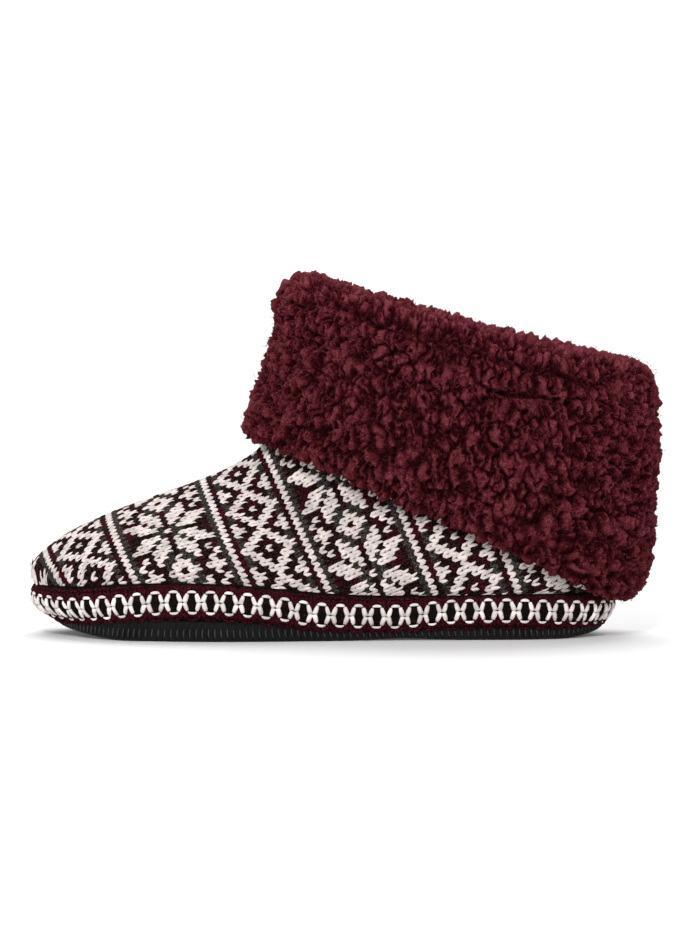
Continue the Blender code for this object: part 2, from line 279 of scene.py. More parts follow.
@dataclass
class Last:
    """Form of the boot and its platform, in the same named sizes as the solids."""

    platform_length: float = 0.2532
    ball_width: float = 0.096
    heel_width: float = 0.073
    toe_round: float = 0.048
    heel_round: float = 0.046
    toe_swing: float = 0.008
    shaft_width: float = 0.066
    platform_height: float = 0.0212
    outsole_height: float = 0.0065
    collar_front: float = 0.143
    collar_back: float = 0.1055
    collar_sag: float = 0.002
    undercut: float = 0.004
    seam_tuck: float = 0.0016
    gap: float = 0.0003
    plan: dict = table(
        along=(0.00, 0.10, 0.20, 0.31, 0.44, 0.56, 0.68, 0.80, 1.00),
        ball=(0.86, 0.94, 0.98, 1.00, 0.80, 0.45, 0.15, 0.00, 0.00),
        heel=(0.00, 0.00, 0.00, 0.00, 0.17, 0.50, 0.82, 1.00, 0.98),
        swing=(1.00, 0.70, 0.32, 0.00, -0.14, -0.18, -0.10, 0.00, 0.00),
    )
    side: dict = table(
        along=(0.00, 0.08, 0.16, 0.26, 0.37, 0.45, 0.55, 0.68, 0.86, 1.00),
        seam=(1.00, 1.05, 1.13, 1.17, 1.12, 1.02, 0.92, 0.89, 0.91, 0.89),
        rubber=(1.06, 1.17, 1.46, 1.38, 1.25, 1.02, 0.78, 0.81, 0.85, 0.98),
        tuck=(2.75, 1.90, 1.25, 1.05, 1.00, 1.00, 1.00, 1.00, 1.05, 1.20),
    )
    band: dict = table(
        rise=(0.00, 0.20, 0.42, 0.74, 1.00),
        lower=(1.00, 0.50, 0.14, 0.00, 0.00),
        upper=(0.00, 0.00, 0.00, 0.12, 1.00),
    )
    form: dict = table(
        rise=(0, 0.036, 0.07, 0.105, 0.15, 0.2, 0.273, 0.361, 0.425, 0.483, 0.584, 0.714, 0.844, 1),
        front=(
            -0.4910, -0.5000, -0.4915, -0.4690, -0.4290, -0.3650, -0.2660,
            -0.1710, -0.1250, -0.0985, -0.0770, -0.0575, -0.0435, -0.0300,
        ),
        back=(
            0.4900, 0.4984, 0.5024, 0.5056, 0.5090, 0.5126, 0.5158,
            0.5182, 0.5200, 0.5220, 0.5252, 0.5290, 0.5282, 0.5200,
        ),
        rounding=(0.50, 0.55, 0.70, 0.90, 1.18, 1.52, 1.82, 1.82, 1.46, 1.10, 0.78, 0.65, 0.60, 0.58),
        pull=(
            0.024, 0.004, -0.002, -0.002, 0.002, 0.008, 0.018,
            0.028, 0.035, 0.040, 0.046, 0.050, 0.050, 0.050,
        ),
        shaft=(0.00, 0.00, 0.00, 0.00, 0.00, 0.02, 0.10, 0.30, 0.50, 0.68, 0.88, 1.00, 1.00, 1.00),
    )
    hem: dict = table(
        along=(0.00, 0.10, 0.22, 0.37, 0.50, 0.67, 0.78, 0.89, 0.96, 1.00),
        rise=(0.530, 0.508, 0.484, 0.430, 0.372, 0.286, 0.226, 0.146, 0.070, 0.040),
    )

    def along(self, x: Array) -> Array:
        """Share of the platform length at x, from the toe."""
        return x / self.platform_length + 0.5

    def platform_half(self, share: Array) -> Array:
        """Half width of the platform at shares of its length, before its ends are rounded."""
        half = self.ball_width / 2 * smooth(self.plan, "ball", share)
        return half + self.heel_width / 2 * smooth(self.plan, "heel", share)

    def half_width(self, x: Array, rise: Array) -> Array:
        """Half width of the boot at x and rise: platform or shaft width, rounded at both ends.

        Args:
            x: places along the boot.
            rise: their rises.

        Returns:
            The half widths.
        """
        front, back = self.front(rise), self.back(rise)
        share = self.along(x)
        half = self.platform_half(share)
        shaft = smooth(self.form, "shaft", rise)
        half = (1 - shaft) * (half - self.ball_width * smooth(self.form, "pull", rise))
        half = half + shaft * self.shaft_width / 2
        toe = round_end((x - front) / (self.ball_width * smooth(self.form, "rounding", rise)))
        return half * toe * round_end((back - x) / self.heel_round)

    def front(self, rise: Array) -> Array:
        """Front of the loop at a rise."""
        return self.platform_length * smooth(self.form, "front", rise)

    def back(self, rise: Array) -> Array:
        """Back of the loop at a rise."""
        return self.platform_length * smooth(self.form, "back", rise)

    def swing(self, x: Array) -> Array:
        """Sideways place of the boot's middle line at x."""
        return self.toe_swing * smooth(self.plan, "swing", self.along(x))

    def seam_height(self, x: Array) -> Array:
        """Height of the seam between tape and knit at x."""
        return self.platform_height * smooth(self.side, "seam", self.along(x))

    def rubber_height(self, x: Array) -> Array:
        """Height of the outsole's upper edge at x."""
        return self.outsole_height * smooth(self.side, "rubber", self.along(x))

    def collar_height(self, x: Array) -> Array:
        """Height of the collar's edge at x: a plane that falls to the back, with a slight sag.

        Args:
            x: places along the boot.

        Returns:
            The heights.
        """
        front, back = self.front(1.0), self.back(1.0)
        share = (x - front) / (back - front)
        sag = self.collar_sag * np.sin(math.pi * np.clip(share, 0.0, 1.0))
        return self.collar_front + (self.collar_back - self.collar_front) * share - sag

    def height(self, x: Array, rise: Array) -> Array:
        """Height above the floor at x and rise."""
        return (1.0 - rise) * (self.seam_height(x) + self.gap) + rise * self.collar_height(x)

    def rise(self, x: Array, z: Array) -> Array:
        """Rise of a place from its x and height."""
        low = self.seam_height(x) + self.gap
        return (z - low) / (self.collar_height(x) - low)

    def point(self, angle: Array, rise: Array) -> Array:
        """Place on the boot's outer form at a loop angle and a rise.

        Args:
            angle: loop angles.
            rise: rises.

        Returns:
            The places.
        """
        angle, rise = np.broadcast_arrays(angle, rise)
        front, back = self.front(rise), self.back(rise)
        x = front + (back - front) * (1.0 - np.cos(angle)) / 2.0
        y = self.swing(x) - np.sign(np.sin(angle)) * self.half_width(x, rise)
        return np.stack([x, y, self.height(x, rise)], axis=-1)

    def frame_at(self, angle: Array, rise: Array) -> tuple[Array, Array, Array]:
        """Closed curve on the form, with its outward normals and the way up, square to the curve.

        Args:
            angle: loop angles.
            rise: rises.

        Returns:
            The curve, its normals and its ways up.
        """
        step = 0.002
        angle, rise = np.broadcast_arrays(angle, rise)
        ahead = self.point(angle + step, rise) - self.point(angle - step, rise)
        above = self.point(angle, np.minimum(rise + step, 1.0))
        above = above - self.point(angle, np.maximum(rise - step, 0.0))
        curve = self.point(angle, rise)
        normal = unit(np.cross(ahead, above))
        return curve, normal, unit(np.cross(normal, around(curve)))

    def hem_rise(self, angle: Array) -> Array:
        """Rise of the turned-down flap's hem at a loop angle."""
        return smooth(self.hem, "rise", (1.0 - np.cos(angle)) / 2.0)

    def platform_loop(self, angle: Array) -> Array:
        """Widest outline of the platform in plan.

        Args:
            angle: loop angles.

        Returns:
            Places in plan.
        """
        reach = self.platform_length / 2
        x = -reach * np.cos(angle)
        share = self.along(x)
        half = self.platform_half(share)
        half = half * round_end((x + reach) / self.toe_round) * round_end((reach - x) / self.heel_round)
        return np.stack([x, self.swing(x) - np.sign(np.sin(angle)) * half], axis=-1)


class Graph:
    """A node tree while it is being wired."""

    def __init__(self, tree: bpy.types.NodeTree) -> None:
        """Takes the tree to wire."""
        self.tree = tree

    def add(self, kind: str, values: dict | None = None, **settings) -> bpy.types.Node:
        """Adds a node.

        Args:
            kind: the node's type name without its ShaderNode prefix.
            values: numbers, colours or sockets for its inputs, by name or place.
            settings: the node's own options.

        Returns:
            The new node.
        """
        node = self.tree.nodes.new("ShaderNode" + kind)
        for option, value in settings.items():
            setattr(node, option, value)
        for key, value in (values or {}).items():
            if isinstance(value, bpy.types.NodeSocket):
                self.tree.links.new(value, node.inputs[key])
            else:
                node.inputs[key].default_value = value
        return node

    def math(self, operation: str, first: object, second: object = 0.0) -> bpy.types.NodeSocket:
        """Result of a Math node on two numbers or sockets."""
        return self.add("Math", {0: first, 1: second}, operation=operation).outputs[0]

    def blend(self, share: object, first: object, second: object) -> bpy.types.NodeSocket:
        """Colour between a first and a second one."""
        node = self.add("Mix", {0: share, 6: first, 7: second}, data_type="RGBA")
        return node.outputs[2]


def new_group(name: str, inputs: dict[str, tuple], outputs: dict[str, str]) -> tuple[Graph, dict, dict]:
    """Starts a shader node group.

    Args:
        name: the group's name.
        inputs: socket type and starting value by name.
        outputs: socket type by name.

    Returns:
        Its graph, its input sockets and its output sockets by name.
    """
    tree = bpy.data.node_groups.new(name, "ShaderNodeTree")
    for label, (kind, value) in inputs.items():
        socket = tree.interface.new_socket(label, in_out="INPUT", socket_type="NodeSocket" + kind)
        socket.default_value = value
    for label, kind in outputs.items():
        tree.interface.new_socket(label, in_out="OUTPUT", socket_type="NodeSocket" + kind)
    start, end = tree.nodes.new("NodeGroupInput"), tree.nodes.new("NodeGroupOutput")
    return Graph(tree), {s.name: s for s in start.outputs}, {s.name: s for s in end.inputs}


def fibre_group() -> bpy.types.NodeTree:
    """Spun fibre: a colour mottled at two sizes and a fine fuzzy relief, both in object space.

    Returns:
        The group's tree.
    """
    graph, inp, out = new_group(
        "spun_fibre",
        {
            "Colour": ("Color", (0.5, 0.5, 0.5, 1.0)),
            "Fleck": ("Color", (0.8, 0.8, 0.8, 1.0)),
            "Fleck Amount": ("Float", 0.3),
            "Tone": ("Float", 0.5),
            "Fibre Size": ("Float", 0.0003),
            "Relief": ("Float", 0.5),
        },
        {"Colour": "Color", "Normal": "Vector"},
    )
    place = graph.add("TexCoord").outputs["Object"]
    scale = graph.math("DIVIDE", 1.0, inp["Fibre Size"])
    fine = graph.add("TexNoise", {"Vector": place, "Scale": scale, "Detail": 3.0, "Roughness": 0.65})
    broad_scale = graph.math("MULTIPLY", scale, 0.12)
    broad = graph.add("TexNoise", {"Vector": place, "Scale": broad_scale, "Detail": 2.0})
    fleck = graph.add("MapRange", {"Value": fine.outputs["Fac"], 1: 0.52, 2: 0.68, 3: 0.0, 4: 1.0})
    amount = graph.math("MULTIPLY", fleck.outputs[0], inp["Fleck Amount"])
    mottled = graph.blend(amount, inp["Colour"], inp["Fleck"])
    shade = graph.add("MapRange", {"Value": broad.outputs["Fac"], 1: 0.3, 2: 0.7, 3: 0.82, 4: 1.12})
    tone = graph.add("MapRange", {"Value": inp["Tone"], 1: 0.0, 2: 1.0, 3: 0.8, 4: 1.16})
    level = graph.math("MULTIPLY", shade.outputs[0], tone.outputs[0])
    toned = graph.add("VectorMath", {0: mottled, "Scale": level}, operation="SCALE")
    relief = graph.add("Bump", {"Strength": inp["Relief"], "Distance": 0.0003, "Height": fine.outputs["Fac"]})
    graph.tree.links.new(toned.outputs[0], out["Colour"])
    graph.tree.links.new(relief.outputs[0], out["Normal"])
    return graph.tree


def new_material(name: str, values: dict[str, object]) -> tuple[bpy.types.Material, Graph, bpy.types.Node]:
    """Starts a material.

    Args:
        name: the material's name.
        values: constants of its shader's sockets by name.

    Returns:
        The material, its graph and its shader.
    """
    made = bpy.data.materials.new(name)
    made.use_nodes = True
    shader = made.node_tree.nodes["Principled BSDF"]
    for socket, value in values.items():
        shader.inputs[socket].default_value = value
    return made, Graph(made.node_tree), shader


@dataclass(frozen=True)
class YarnFinish:
    """Finish of spun yarn: its colour, the fleck in it, and how fuzzy it is."""

    name: str
    colour: tuple[float, float, float]
    fleck: tuple[float, float, float]
    fleck_amount: float = 0.35
    fibre: float = 0.0003
    relief: float = 0.6
    roughness: float = 0.9
    sheen: float = 0.04
    toned: bool = True

    def build(self, fibre: bpy.types.NodeTree) -> bpy.types.Material:
        """Makes the material.

        Args:
            fibre: the spun fibre group.

        Returns:
            The yarn's material.
        """
        made, graph, shader = new_material(
            self.name,
            {
                "Roughness": self.roughness,
                "Sheen Weight": self.sheen,
                "Sheen Roughness": 0.6,
                "Sheen Tint": (*self.fleck, 1.0),
                "Specular IOR Level": 0.03,
            },
        )
        group = graph.add("Group", node_tree=fibre)
        group.inputs["Colour"].default_value = (*self.colour, 1.0)
        group.inputs["Fleck"].default_value = (*self.fleck, 1.0)
        group.inputs["Fleck Amount"].default_value = self.fleck_amount
        group.inputs["Fibre Size"].default_value = self.fibre
        group.inputs["Relief"].default_value = self.relief
        link = made.node_tree.links.new
        if self.toned:
            link(graph.add("Attribute", attribute_name="tone").outputs["Fac"], group.inputs["Tone"])
        link(group.outputs["Colour"], shader.inputs["Base Color"])
        link(group.outputs["Normal"], shader.inputs["Normal"])
        return made


@dataclass(frozen=True)
class FleeceFinish:
    """Finish of curly fleece: dark between the curls by painted shade, paler on their tips partly by painted
    light.
    """

    name: str
    crevice_painted_shade: tuple[float, float, float] = (0.0030, 0.0002, 0.0002)
    body: tuple[float, float, float] = (0.088, 0.0082, 0.0118)
    tip_with_painted_light: tuple[float, float, float] = (0.290, 0.0700, 0.0840)
    relief: float = 1.0
    sheen: float = 0.24

    def build(self) -> bpy.types.Material:
        """Makes the fleece's material, whose colour follows the painted shade kept on the mesh, which comes
        from the pile's height and its cracks.

        Returns:
            The material.
        """
        made, graph, shader = new_material(
            self.name,
            {
                "Roughness": 0.95,
                "Sheen Weight": self.sheen,
                "Sheen Roughness": 0.4,
                "Sheen Tint": (0.60, 0.11, 0.15, 1.0),
                "Specular IOR Level": 0.0,
            },
        )
        link = made.node_tree.links.new
        place = graph.add("TexCoord").outputs["Object"]
        # The pile attribute is a painted shade: dark in cracks and grooves, lighter on higher curls and on
        # the roll.
        pile = graph.add("Attribute", attribute_name="pile").outputs["Fac"]
        curl = graph.add("TexNoise", {"Vector": place, "Scale": 1000.0, "Detail": 4.0, "Roughness": 0.75})
        curl.inputs["Distortion"].default_value = 1.4
        fine = graph.add("TexNoise", {"Vector": place, "Scale": 2600.0, "Detail": 3.0, "Roughness": 0.7})
        grain = graph.math("ADD", curl.outputs["Fac"], graph.math("MULTIPLY", fine.outputs["Fac"], 0.8))
        mixed = graph.math("ADD", pile, graph.math("MULTIPLY", graph.math("SUBTRACT", grain, 0.90), 2.3))
        # The ramp runs from the painted crevice shade through the body colour to the tip colour, which is
        # partly painted light.
        ramp = graph.add("ValToRGB", {"Fac": mixed})
        ramp.color_ramp.elements[0].position = 0.06
        ramp.color_ramp.elements[0].color = (*self.crevice_painted_shade, 1.0)
        ramp.color_ramp.elements[1].position = 1.0
        ramp.color_ramp.elements[1].color = (*self.tip_with_painted_light, 1.0)
        middle = ramp.color_ramp.elements.new(0.47)
        middle.color = (*self.body, 1.0)
        link(ramp.outputs["Color"], shader.inputs["Base Color"])
        height = graph.math("ADD", curl.outputs["Fac"], graph.math("MULTIPLY", fine.outputs["Fac"], 0.35))
        bump = graph.add("Bump", {"Strength": self.relief, "Distance": 0.0011, "Height": height})
        link(bump.outputs[0], shader.inputs["Normal"])
        return made


@dataclass(frozen=True)
class RubberFinish:
    """Finish of moulded rubber: nearly black, dull, with a fine skin and paler patches; a pale copy of it
    paints the highlight on the ribs' crests.
    """

    name: str
    colour: tuple[float, float, float] = (0.0026, 0.0022, 0.0022)
    wear_and_painted_highlight: tuple[float, float, float] = (0.011, 0.010, 0.010)

    def build(self) -> bpy.types.Material:
        """Makes the rubber's material.

        Returns:
            The material.
        """
        made, graph, shader = new_material(self.name, {"Specular IOR Level": 0.16})
        link = made.node_tree.links.new
        place = graph.add("TexCoord").outputs["Object"]
        skin = graph.add("TexNoise", {"Vector": place, "Scale": 1800.0, "Detail": 3.0})
        broad = graph.add("TexNoise", {"Vector": place, "Scale": 60.0, "Detail": 3.0})
        shade = graph.add("MapRange", {"Value": broad.outputs["Fac"], 1: 0.35, 2: 0.75, 3: 0.0, 4: 0.45})
        colour = graph.blend(shade.outputs[0], (*self.colour, 1.0), (*self.wear_and_painted_highlight, 1.0))
        link(colour, shader.inputs["Base Color"])
        rough = graph.add("MapRange", {"Value": skin.outputs["Fac"], 1: 0.2, 2: 0.8, 3: 0.42, 4: 0.62})
        link(rough.outputs[0], shader.inputs["Roughness"])
        bump = graph.add("Bump", {"Strength": 0.35, "Distance": 0.0001, "Height": skin.outputs["Fac"]})
        link(bump.outputs[0], shader.inputs["Normal"])
        return made


@dataclass
class Stitches:
    """Many small plump stitches, each a closed leaf bent between its two ends.

    Along a stitch, t runs from -1 to 1. Its middle line is the straight line between the ends plus
    bow and lift, which both follow 1 - t squared. Its cross-section is an ellipse with a share of
    the full size at each station, and a point at each end.
    """

    stations: tuple[float, ...] = (-0.84, -0.35, 0.35, 0.84)
    shares: tuple[float, ...] = (0.72, 1.0, 1.0, 0.72)
    sides: int = 6

    def template(self) -> tuple[Array, Array, Array]:
        """Unit leaf.

        Returns:
            Rows of t, cosine and sine for its points, its quads and its triangles.
        """
        turn = np.arange(self.sides) / self.sides * TAU
        rows = [np.array([[-1.0, 0.0, 0.0]])]
        for t, size in zip(self.stations, self.shares):
            rows.append(np.column_stack([np.full(self.sides, t), size * np.cos(turn), size * np.sin(turn)]))
        rows.append(np.array([[1.0, 0.0, 0.0]]))
        last = len(self.stations) * self.sides + 1
        ring = 1 + np.arange(len(self.stations) * self.sides).reshape(-1, self.sides)
        ahead = np.roll(ring, -1, axis=1)
        quads = np.stack([ring[:-1], ring[1:], ahead[1:], ahead[:-1]], axis=-1).reshape(-1, 4)
        start = np.column_stack([np.zeros(self.sides, int), ring[0], ahead[0]])
        end = np.column_stack([np.full(self.sides, last), ahead[-1], ring[-1]])
        return np.concatenate(rows), quads, np.concatenate([start, end])

    def build(
        self,
        name: str,
        start: Array,
        end: Array,
        normal: Array,
        width: Array | float,
        thickness: Array | float,
        bow: Array | float = 0.0,
        lift: Array | float = 0.0,
        tone: Array | float = 0.0,
    ) -> bpy.types.Object:
        """Joins one leaf for each place into a piece; a plain number holds for all of them.

        Args:
            name: the piece's name.
            start: places of the stitches' first ends.
            end: places of their second ends.
            normal: outward directions of what carries them.
            width: half widths across the surface.
            thickness: half thicknesses out of it.
            bow: how far each middle bends sideways.
            lift: how far each middle stands out.
            tone: shade of each stitch from 0 to 1.

        Returns:
            The piece.
        """
        leaf, quads, tris = self.template()
        t, across, out = leaf.T
        width, thickness, bow, lift, tone = (
            np.broadcast_to(value, len(start)) for value in (width, thickness, bow, lift, tone)
        )
        side = unit(np.cross(normal, end - start))[:, None, :]
        normal = normal[:, None, :]
        arch = (1.0 - t**2)[None, :, None]
        points = start[:, None, :] + (end - start)[:, None, :] * ((t + 1.0) / 2.0)[None, :, None]
        points = points + side * (arch * bow[:, None, None] + across[None, :, None] * width[:, None, None])
        raised = arch * lift[:, None, None] + out[None, :, None] * thickness[:, None, None]
        points = points + normal * raised
        count, size = len(start), len(leaf)
        step = (np.arange(count) * size)[:, None, None]
        piece = build_piece(
            name,
            points.reshape(-1, 3),
            (quads[None] + step).reshape(-1, 4),
            (tris[None] + step).reshape(-1, 3),
        )
        give_value(piece, "tone", np.repeat(tone, size))
        return piece


class Yarn(Enum):
    """Yarns of the knit."""

    WHITE = 0
    BLACK = 1
    GREY = 2
    BURGUNDY = 3


@dataclass
class KnitChart:
    """Star and diamond repeat, given as a chart: bands of rows between single white rows.

    Each motif lists its rows up to its middle row. A hash is white, an r burgundy and a dot the
    row's own ground yarn.
    """

    star: tuple[str, ...] = (
        "................",
        "#.#..#.....#..#.",
        "##.#.##...##.#.#",
        "#....###.###....",
        "..###.##.##.###.",
        "#..###.#.#.###..",
        "##..###...###..#",
        "r##.....#.....##",
    )
    diamond: tuple[str, ...] = (
        "........",
        "##..#..#",
        "#..###..",
        "..##.##.",
        ".##...##",
        "##..#..#",
    )
    star_ground: tuple[Yarn, ...] = (
        Yarn.GREY, Yarn.BLACK, Yarn.BLACK, Yarn.BLACK, Yarn.BLACK, Yarn.GREY, Yarn.GREY, Yarn.BLACK,
    )
    diamond_ground: tuple[Yarn, ...] = (
        Yarn.BURGUNDY, Yarn.GREY, Yarn.BLACK, Yarn.BLACK, Yarn.BLACK, Yarn.BLACK,
    )
    repeat: int = 28
    first_line: int = -16
    star_rows: int = 16
    shifts: dict = field(default_factory=lambda: {-44: 5, -28: 0, -16: 13, 0: 4, 12: 13, 28: 5, 40: 13})

    def motif(self, rows: tuple[str, ...], ground: tuple[Yarn, ...]) -> Array:
        """Whole motif as yarn numbers, mirrored about its last listed row.

        Args:
            rows: the listed rows.
            ground: the ground yarn of each.

        Returns:
            Yarn numbers, rows by columns.
        """
        marks = {"#": Yarn.WHITE.value, "r": Yarn.BURGUNDY.value}
        half = [[marks.get(c, yarn.value) for c in row] for row, yarn in zip(rows, ground)]
        return np.array(half + half[-2::-1])

    def yarns(self, course: Array, wale: Array) -> Array:
        """Yarn number of each stitch.

        Args:
            course: row numbers, rising from toe to heel.
            wale: column numbers, rising over the instep to the inner side.

        Returns:
            Yarn numbers, as in Yarn.
        """
        phase = (course - self.first_line) % self.repeat
        star, diamond = self.motif(self.star, self.star_ground), self.motif(self.diamond, self.diamond_ground)
        band_start = course - np.where(phase < self.star_rows, phase, phase - self.star_rows)
        shift = np.zeros_like(course)
        for start, value in self.shifts.items():
            shift[band_start == start] = value
        in_star = (phase > 0) & (phase < self.star_rows)
        in_diamond = phase > self.star_rows
        yarn = np.full(course.shape, Yarn.WHITE.value)
        row = np.clip(phase - 1, 0, len(star) - 1)
        column = (wale + shift + star.shape[1] // 2) % star.shape[1]
        yarn = np.where(in_star, star[row, column], yarn)
        row = np.clip(phase - self.star_rows - 1, 0, len(diamond) - 1)
        column = (wale + shift + diamond.shape[1] // 2) % diamond.shape[1]
        return np.where(in_diamond, diamond[row, column], yarn)


@dataclass
class KnitUpper:
    """Knit of the upper: every stitch of the outside, over a thin dark cloth.

    The courses are plane sections of the form that lean towards the toe. Each is followed from
    the instep's ridge down both sides, and its stitches sit at equal steps of length along it.
    """

    last: Last
    chart: KnitChart = field(default_factory=KnitChart)
    wale_pitch: float = 0.00298
    first_course: int = -34
    last_course: int = 56
    reach: int = 70
    samples: int = 170
    reference_height: float = 0.0292
    ridge_end: int = 9
    cover: float = 0.11
    tuck: float = 0.0042
    leg_width: float = 0.00083
    leg_thickness: float = 0.00044
    leg_bow: float = 0.00020
    leg_lift: float = 0.00030
    mean_slope: float = 0.45
    above_all: float = 0.16
    seam_margin: float = 0.0009
    widest_wale: float = 1.5
    toe_x: float = -0.105
    longest_course: float = 0.0042
    longest_toe_course: float = 0.0085
    stray_share: float = 0.16
    faded_share: float = 0.45
    wall: float = 0.0030
    sink: float = 0.00025
    courses: dict = table(
        course=(-44, -28, -16, 0, 12, 28, 40, 56),
        x=(-0.1600, -0.1160, -0.0813, -0.0338, -0.0005, 0.0447, 0.0810, 0.1285),
        lean=(0.70, 0.66, 0.52, 0.474, 0.476, 0.42, 0.366, 0.33),
    )

    def course_x(self, course: Array, z: Array) -> Array:
        """x of a course's plane at a height."""
        lean = smooth(self.courses, "lean", course)
        return smooth(self.courses, "x", course) + (self.reference_height - z) * lean

    def course_span(self, course: Array) -> tuple[Array, Array, Array]:
        """Lowest and highest height of each course on the form, and whether it meets the form.

        Args:
            course: numbers of the courses.

        Returns:
            The lowest heights, the highest ones and which courses meet the form.
        """
        low = np.full(course.shape, self.reference_height)
        for _ in range(12):
            low = self.last.seam_height(self.course_x(course, low)) - self.tuck
        inside, outside = low.copy(), np.full(course.shape, self.above_all)
        for _ in range(40):
            middle = (inside + outside) / 2
            x = self.course_x(course, middle)
            rise = self.last.rise(x, middle)
            within = (x > self.last.front(rise)) & (rise < 1.0)
            inside, outside = np.where(within, middle, inside), np.where(within, outside, middle)
        x = self.course_x(course, low)
        return low, inside, (x > self.last.front(0.0) + 0.0005) & (x < self.last.back(0.0) - 0.0005)

    def lattice(self) -> tuple[Array, Array, Array]:
        """Places of the knit at every half course and half wale.

        Returns:
            Places, with NaN off the form, the half courses and the half wales.
        """
        course = np.arange(2 * self.first_course, 2 * self.last_course + 1) / 2.0
        wale = np.arange(-2 * self.reach, 2 * self.reach + 1) / 2.0
        low, high, valid = self.course_span(course)
        share = np.sin(np.linspace(0.0, math.pi / 2, self.samples))
        z = low[:, None] + (high - low)[:, None] * share
        x = self.course_x(np.broadcast_to(course[:, None], z.shape), z)
        half = self.last.half_width(x, np.clip(self.last.rise(x, z), 0.0, 1.0))
        places = np.full((len(course), len(wale), 3), np.nan)
        target = wale * self.wale_pitch
        for sign in (-1.0, 1.0):
            line = np.stack([x, self.last.swing(x) + sign * half, z], axis=-1)
            steps = np.linalg.norm(np.diff(line, axis=1), axis=2)
            length = np.concatenate([np.zeros((len(course), 1)), np.cumsum(steps, axis=1)], axis=1)
            down = length[:, -1:] - length
            anchor = np.array([np.interp(self.reference_height, z[i], down[i]) for i in range(len(course))])
            start = int(np.argmin(np.abs(course - self.ridge_end)))
            lean = math.atan(self.mean_slope)
            side = -self.course_x(course, self.reference_height) * math.sin(lean)
            shift = np.where(course > self.ridge_end, anchor[start] - (side - side[start]) - anchor, 0.0)
            signed = sign * (down + shift[:, None])
            for i in np.flatnonzero(valid):
                order = slice(None, None, -1) if sign > 0 else slice(None)
                u, curve = signed[i][order], line[i][order]
                here = (target >= u[0]) & (target <= u[-1])
                for axis in range(3):
                    places[i, here, axis] = np.interp(target[here], u, curve[:, axis])
        return places, course, wale

    def stitch_places(self) -> dict[str, Array]:
        """Centre, course step, wale step, normal and chart place of each visible stitch.

        Returns:
            Arrays by name, a row for each stitch.
        """
        places, course, wale = self.lattice()
        centre = places[2:-2:2, 2:-2:2]
        ahead = places[3:-1:2, 2:-2:2] - places[1:-3:2, 2:-2:2]
        over = places[2:-2:2, 3:-1:2] - places[2:-2:2, 1:-3:2]
        rows, columns = np.meshgrid(course[2:-2:2], wale[2:-2:2], indexing="ij")
        x, z = centre[..., 0], centre[..., 2]
        rise = self.last.rise(x, z)
        front, back = self.last.front(rise), self.last.back(rise)
        share = np.clip((x - front) / (back - front), 0.0, 1.0)
        shown = rise < smooth(self.last.hem, "rise", share) + self.cover
        good = np.isfinite(ahead).all(-1) & np.isfinite(over).all(-1) & np.isfinite(x) & shown
        good &= z > self.last.seam_height(x) - self.seam_margin
        good &= np.linalg.norm(over, axis=-1) < self.widest_wale * self.wale_pitch
        longest = np.where(x < self.toe_x, self.longest_toe_course, self.longest_course)
        good &= np.linalg.norm(ahead, axis=-1) < longest
        normal = unit(np.cross(ahead, over))
        outward = centre - np.stack([x, np.zeros_like(x), np.full_like(x, 0.02)], axis=-1)
        normal = normal * np.sign((normal * outward).sum(-1, keepdims=True))
        return {
            "centre": centre[good],
            "ahead": ahead[good],
            "over": over[good],
            "normal": normal[good],
            "course": rows[good].astype(int),
            "wale": columns[good].astype(int),
        }

    def build_stitches(self, finishes: dict[Yarn, bpy.types.Material], rng: np.random.Generator) -> None:
        """Builds the two legs of every stitch, one piece for each yarn.

        Args:
            finishes: material of each yarn.
            rng: source of small irregularities.
        """
        spot = self.stitch_places()
        yarn = self.chart.yarns(spot["course"], spot["wale"])
        stray = (yarn == Yarn.BLACK.value) & (rng.random(len(yarn)) < self.stray_share)
        faded = (yarn == Yarn.BURGUNDY.value) & (rng.random(len(yarn)) < self.faded_share)
        yarn = np.where(stray, Yarn.BURGUNDY.value, np.where(faded, Yarn.BLACK.value, yarn))
        for kind, finish in finishes.items():
            use = yarn == kind.value
            count = int(use.sum())
            starts, ends, bows = [], [], []
            centre, ahead, over, normal = (spot[key][use] for key in ("centre", "ahead", "over", "normal"))
            wander = rng.normal(0.0, 0.035, (count, 4))
            for sign in (-1.0, 1.0):
                foot = (0.07 + wander[:, 0]) * sign
                head = (0.43 + wander[:, 1]) * sign
                start = centre + ahead * (-0.76 + wander[:, 2:3]) + over * foot[:, None]
                starts.append(start - normal * 0.0004)
                ends.append(centre + ahead * (0.86 + wander[:, 3:4]) + over * head[:, None] - normal * 0.0002)
                bows.append(np.full(count, sign * self.leg_bow))
            size = 2 * count
            flat = np.concatenate(bows)
            flip = np.sign((np.cross(normal, ahead) * over).sum(-1))
            fat = 1.0 + rng.normal(0.0, 0.06, size)
            piece = Stitches((-0.82, -0.35, 0.30, 0.80), (0.66, 1.0, 0.94, 0.48)).build(
                "knit_" + kind.name.lower(),
                np.concatenate(starts),
                np.concatenate(ends),
                np.concatenate([normal, normal]),
                self.leg_width * fat,
                self.leg_thickness * fat,
                flat * np.concatenate([flip, flip]),
                self.leg_lift * fat,
                np.tile(rng.random(count), 2) * 0.7 + rng.random(size) * 0.3,
            )
            finish_piece(piece, finish)

    def build_cloth(self, finish: bpy.types.Material) -> None:
        """Dark cloth under the stitches: the upper's wall, a little thinner, from seam to collar.

        Args:
            finish: its material.
        """
        angle = np.linspace(0.0, TAU, 200, endpoint=False)
        rises = np.linspace(0.0, 1.0, 46) ** 1.2
        outer = [self.offset(angle, r, -self.sink) for r in rises]
        inner = [self.offset(angle, r, -self.wall) for r in rises[::-3]]
        finish_piece(ring_piece("knit_cloth", np.array(outer + inner)), finish, "upper")

    def offset(self, angle: Array, rise: float, out: float) -> Array:
        """Loop of the form moved out along its normals."""
        curve, normal, _ = self.last.frame_at(angle, rise)
        return curve + normal * out


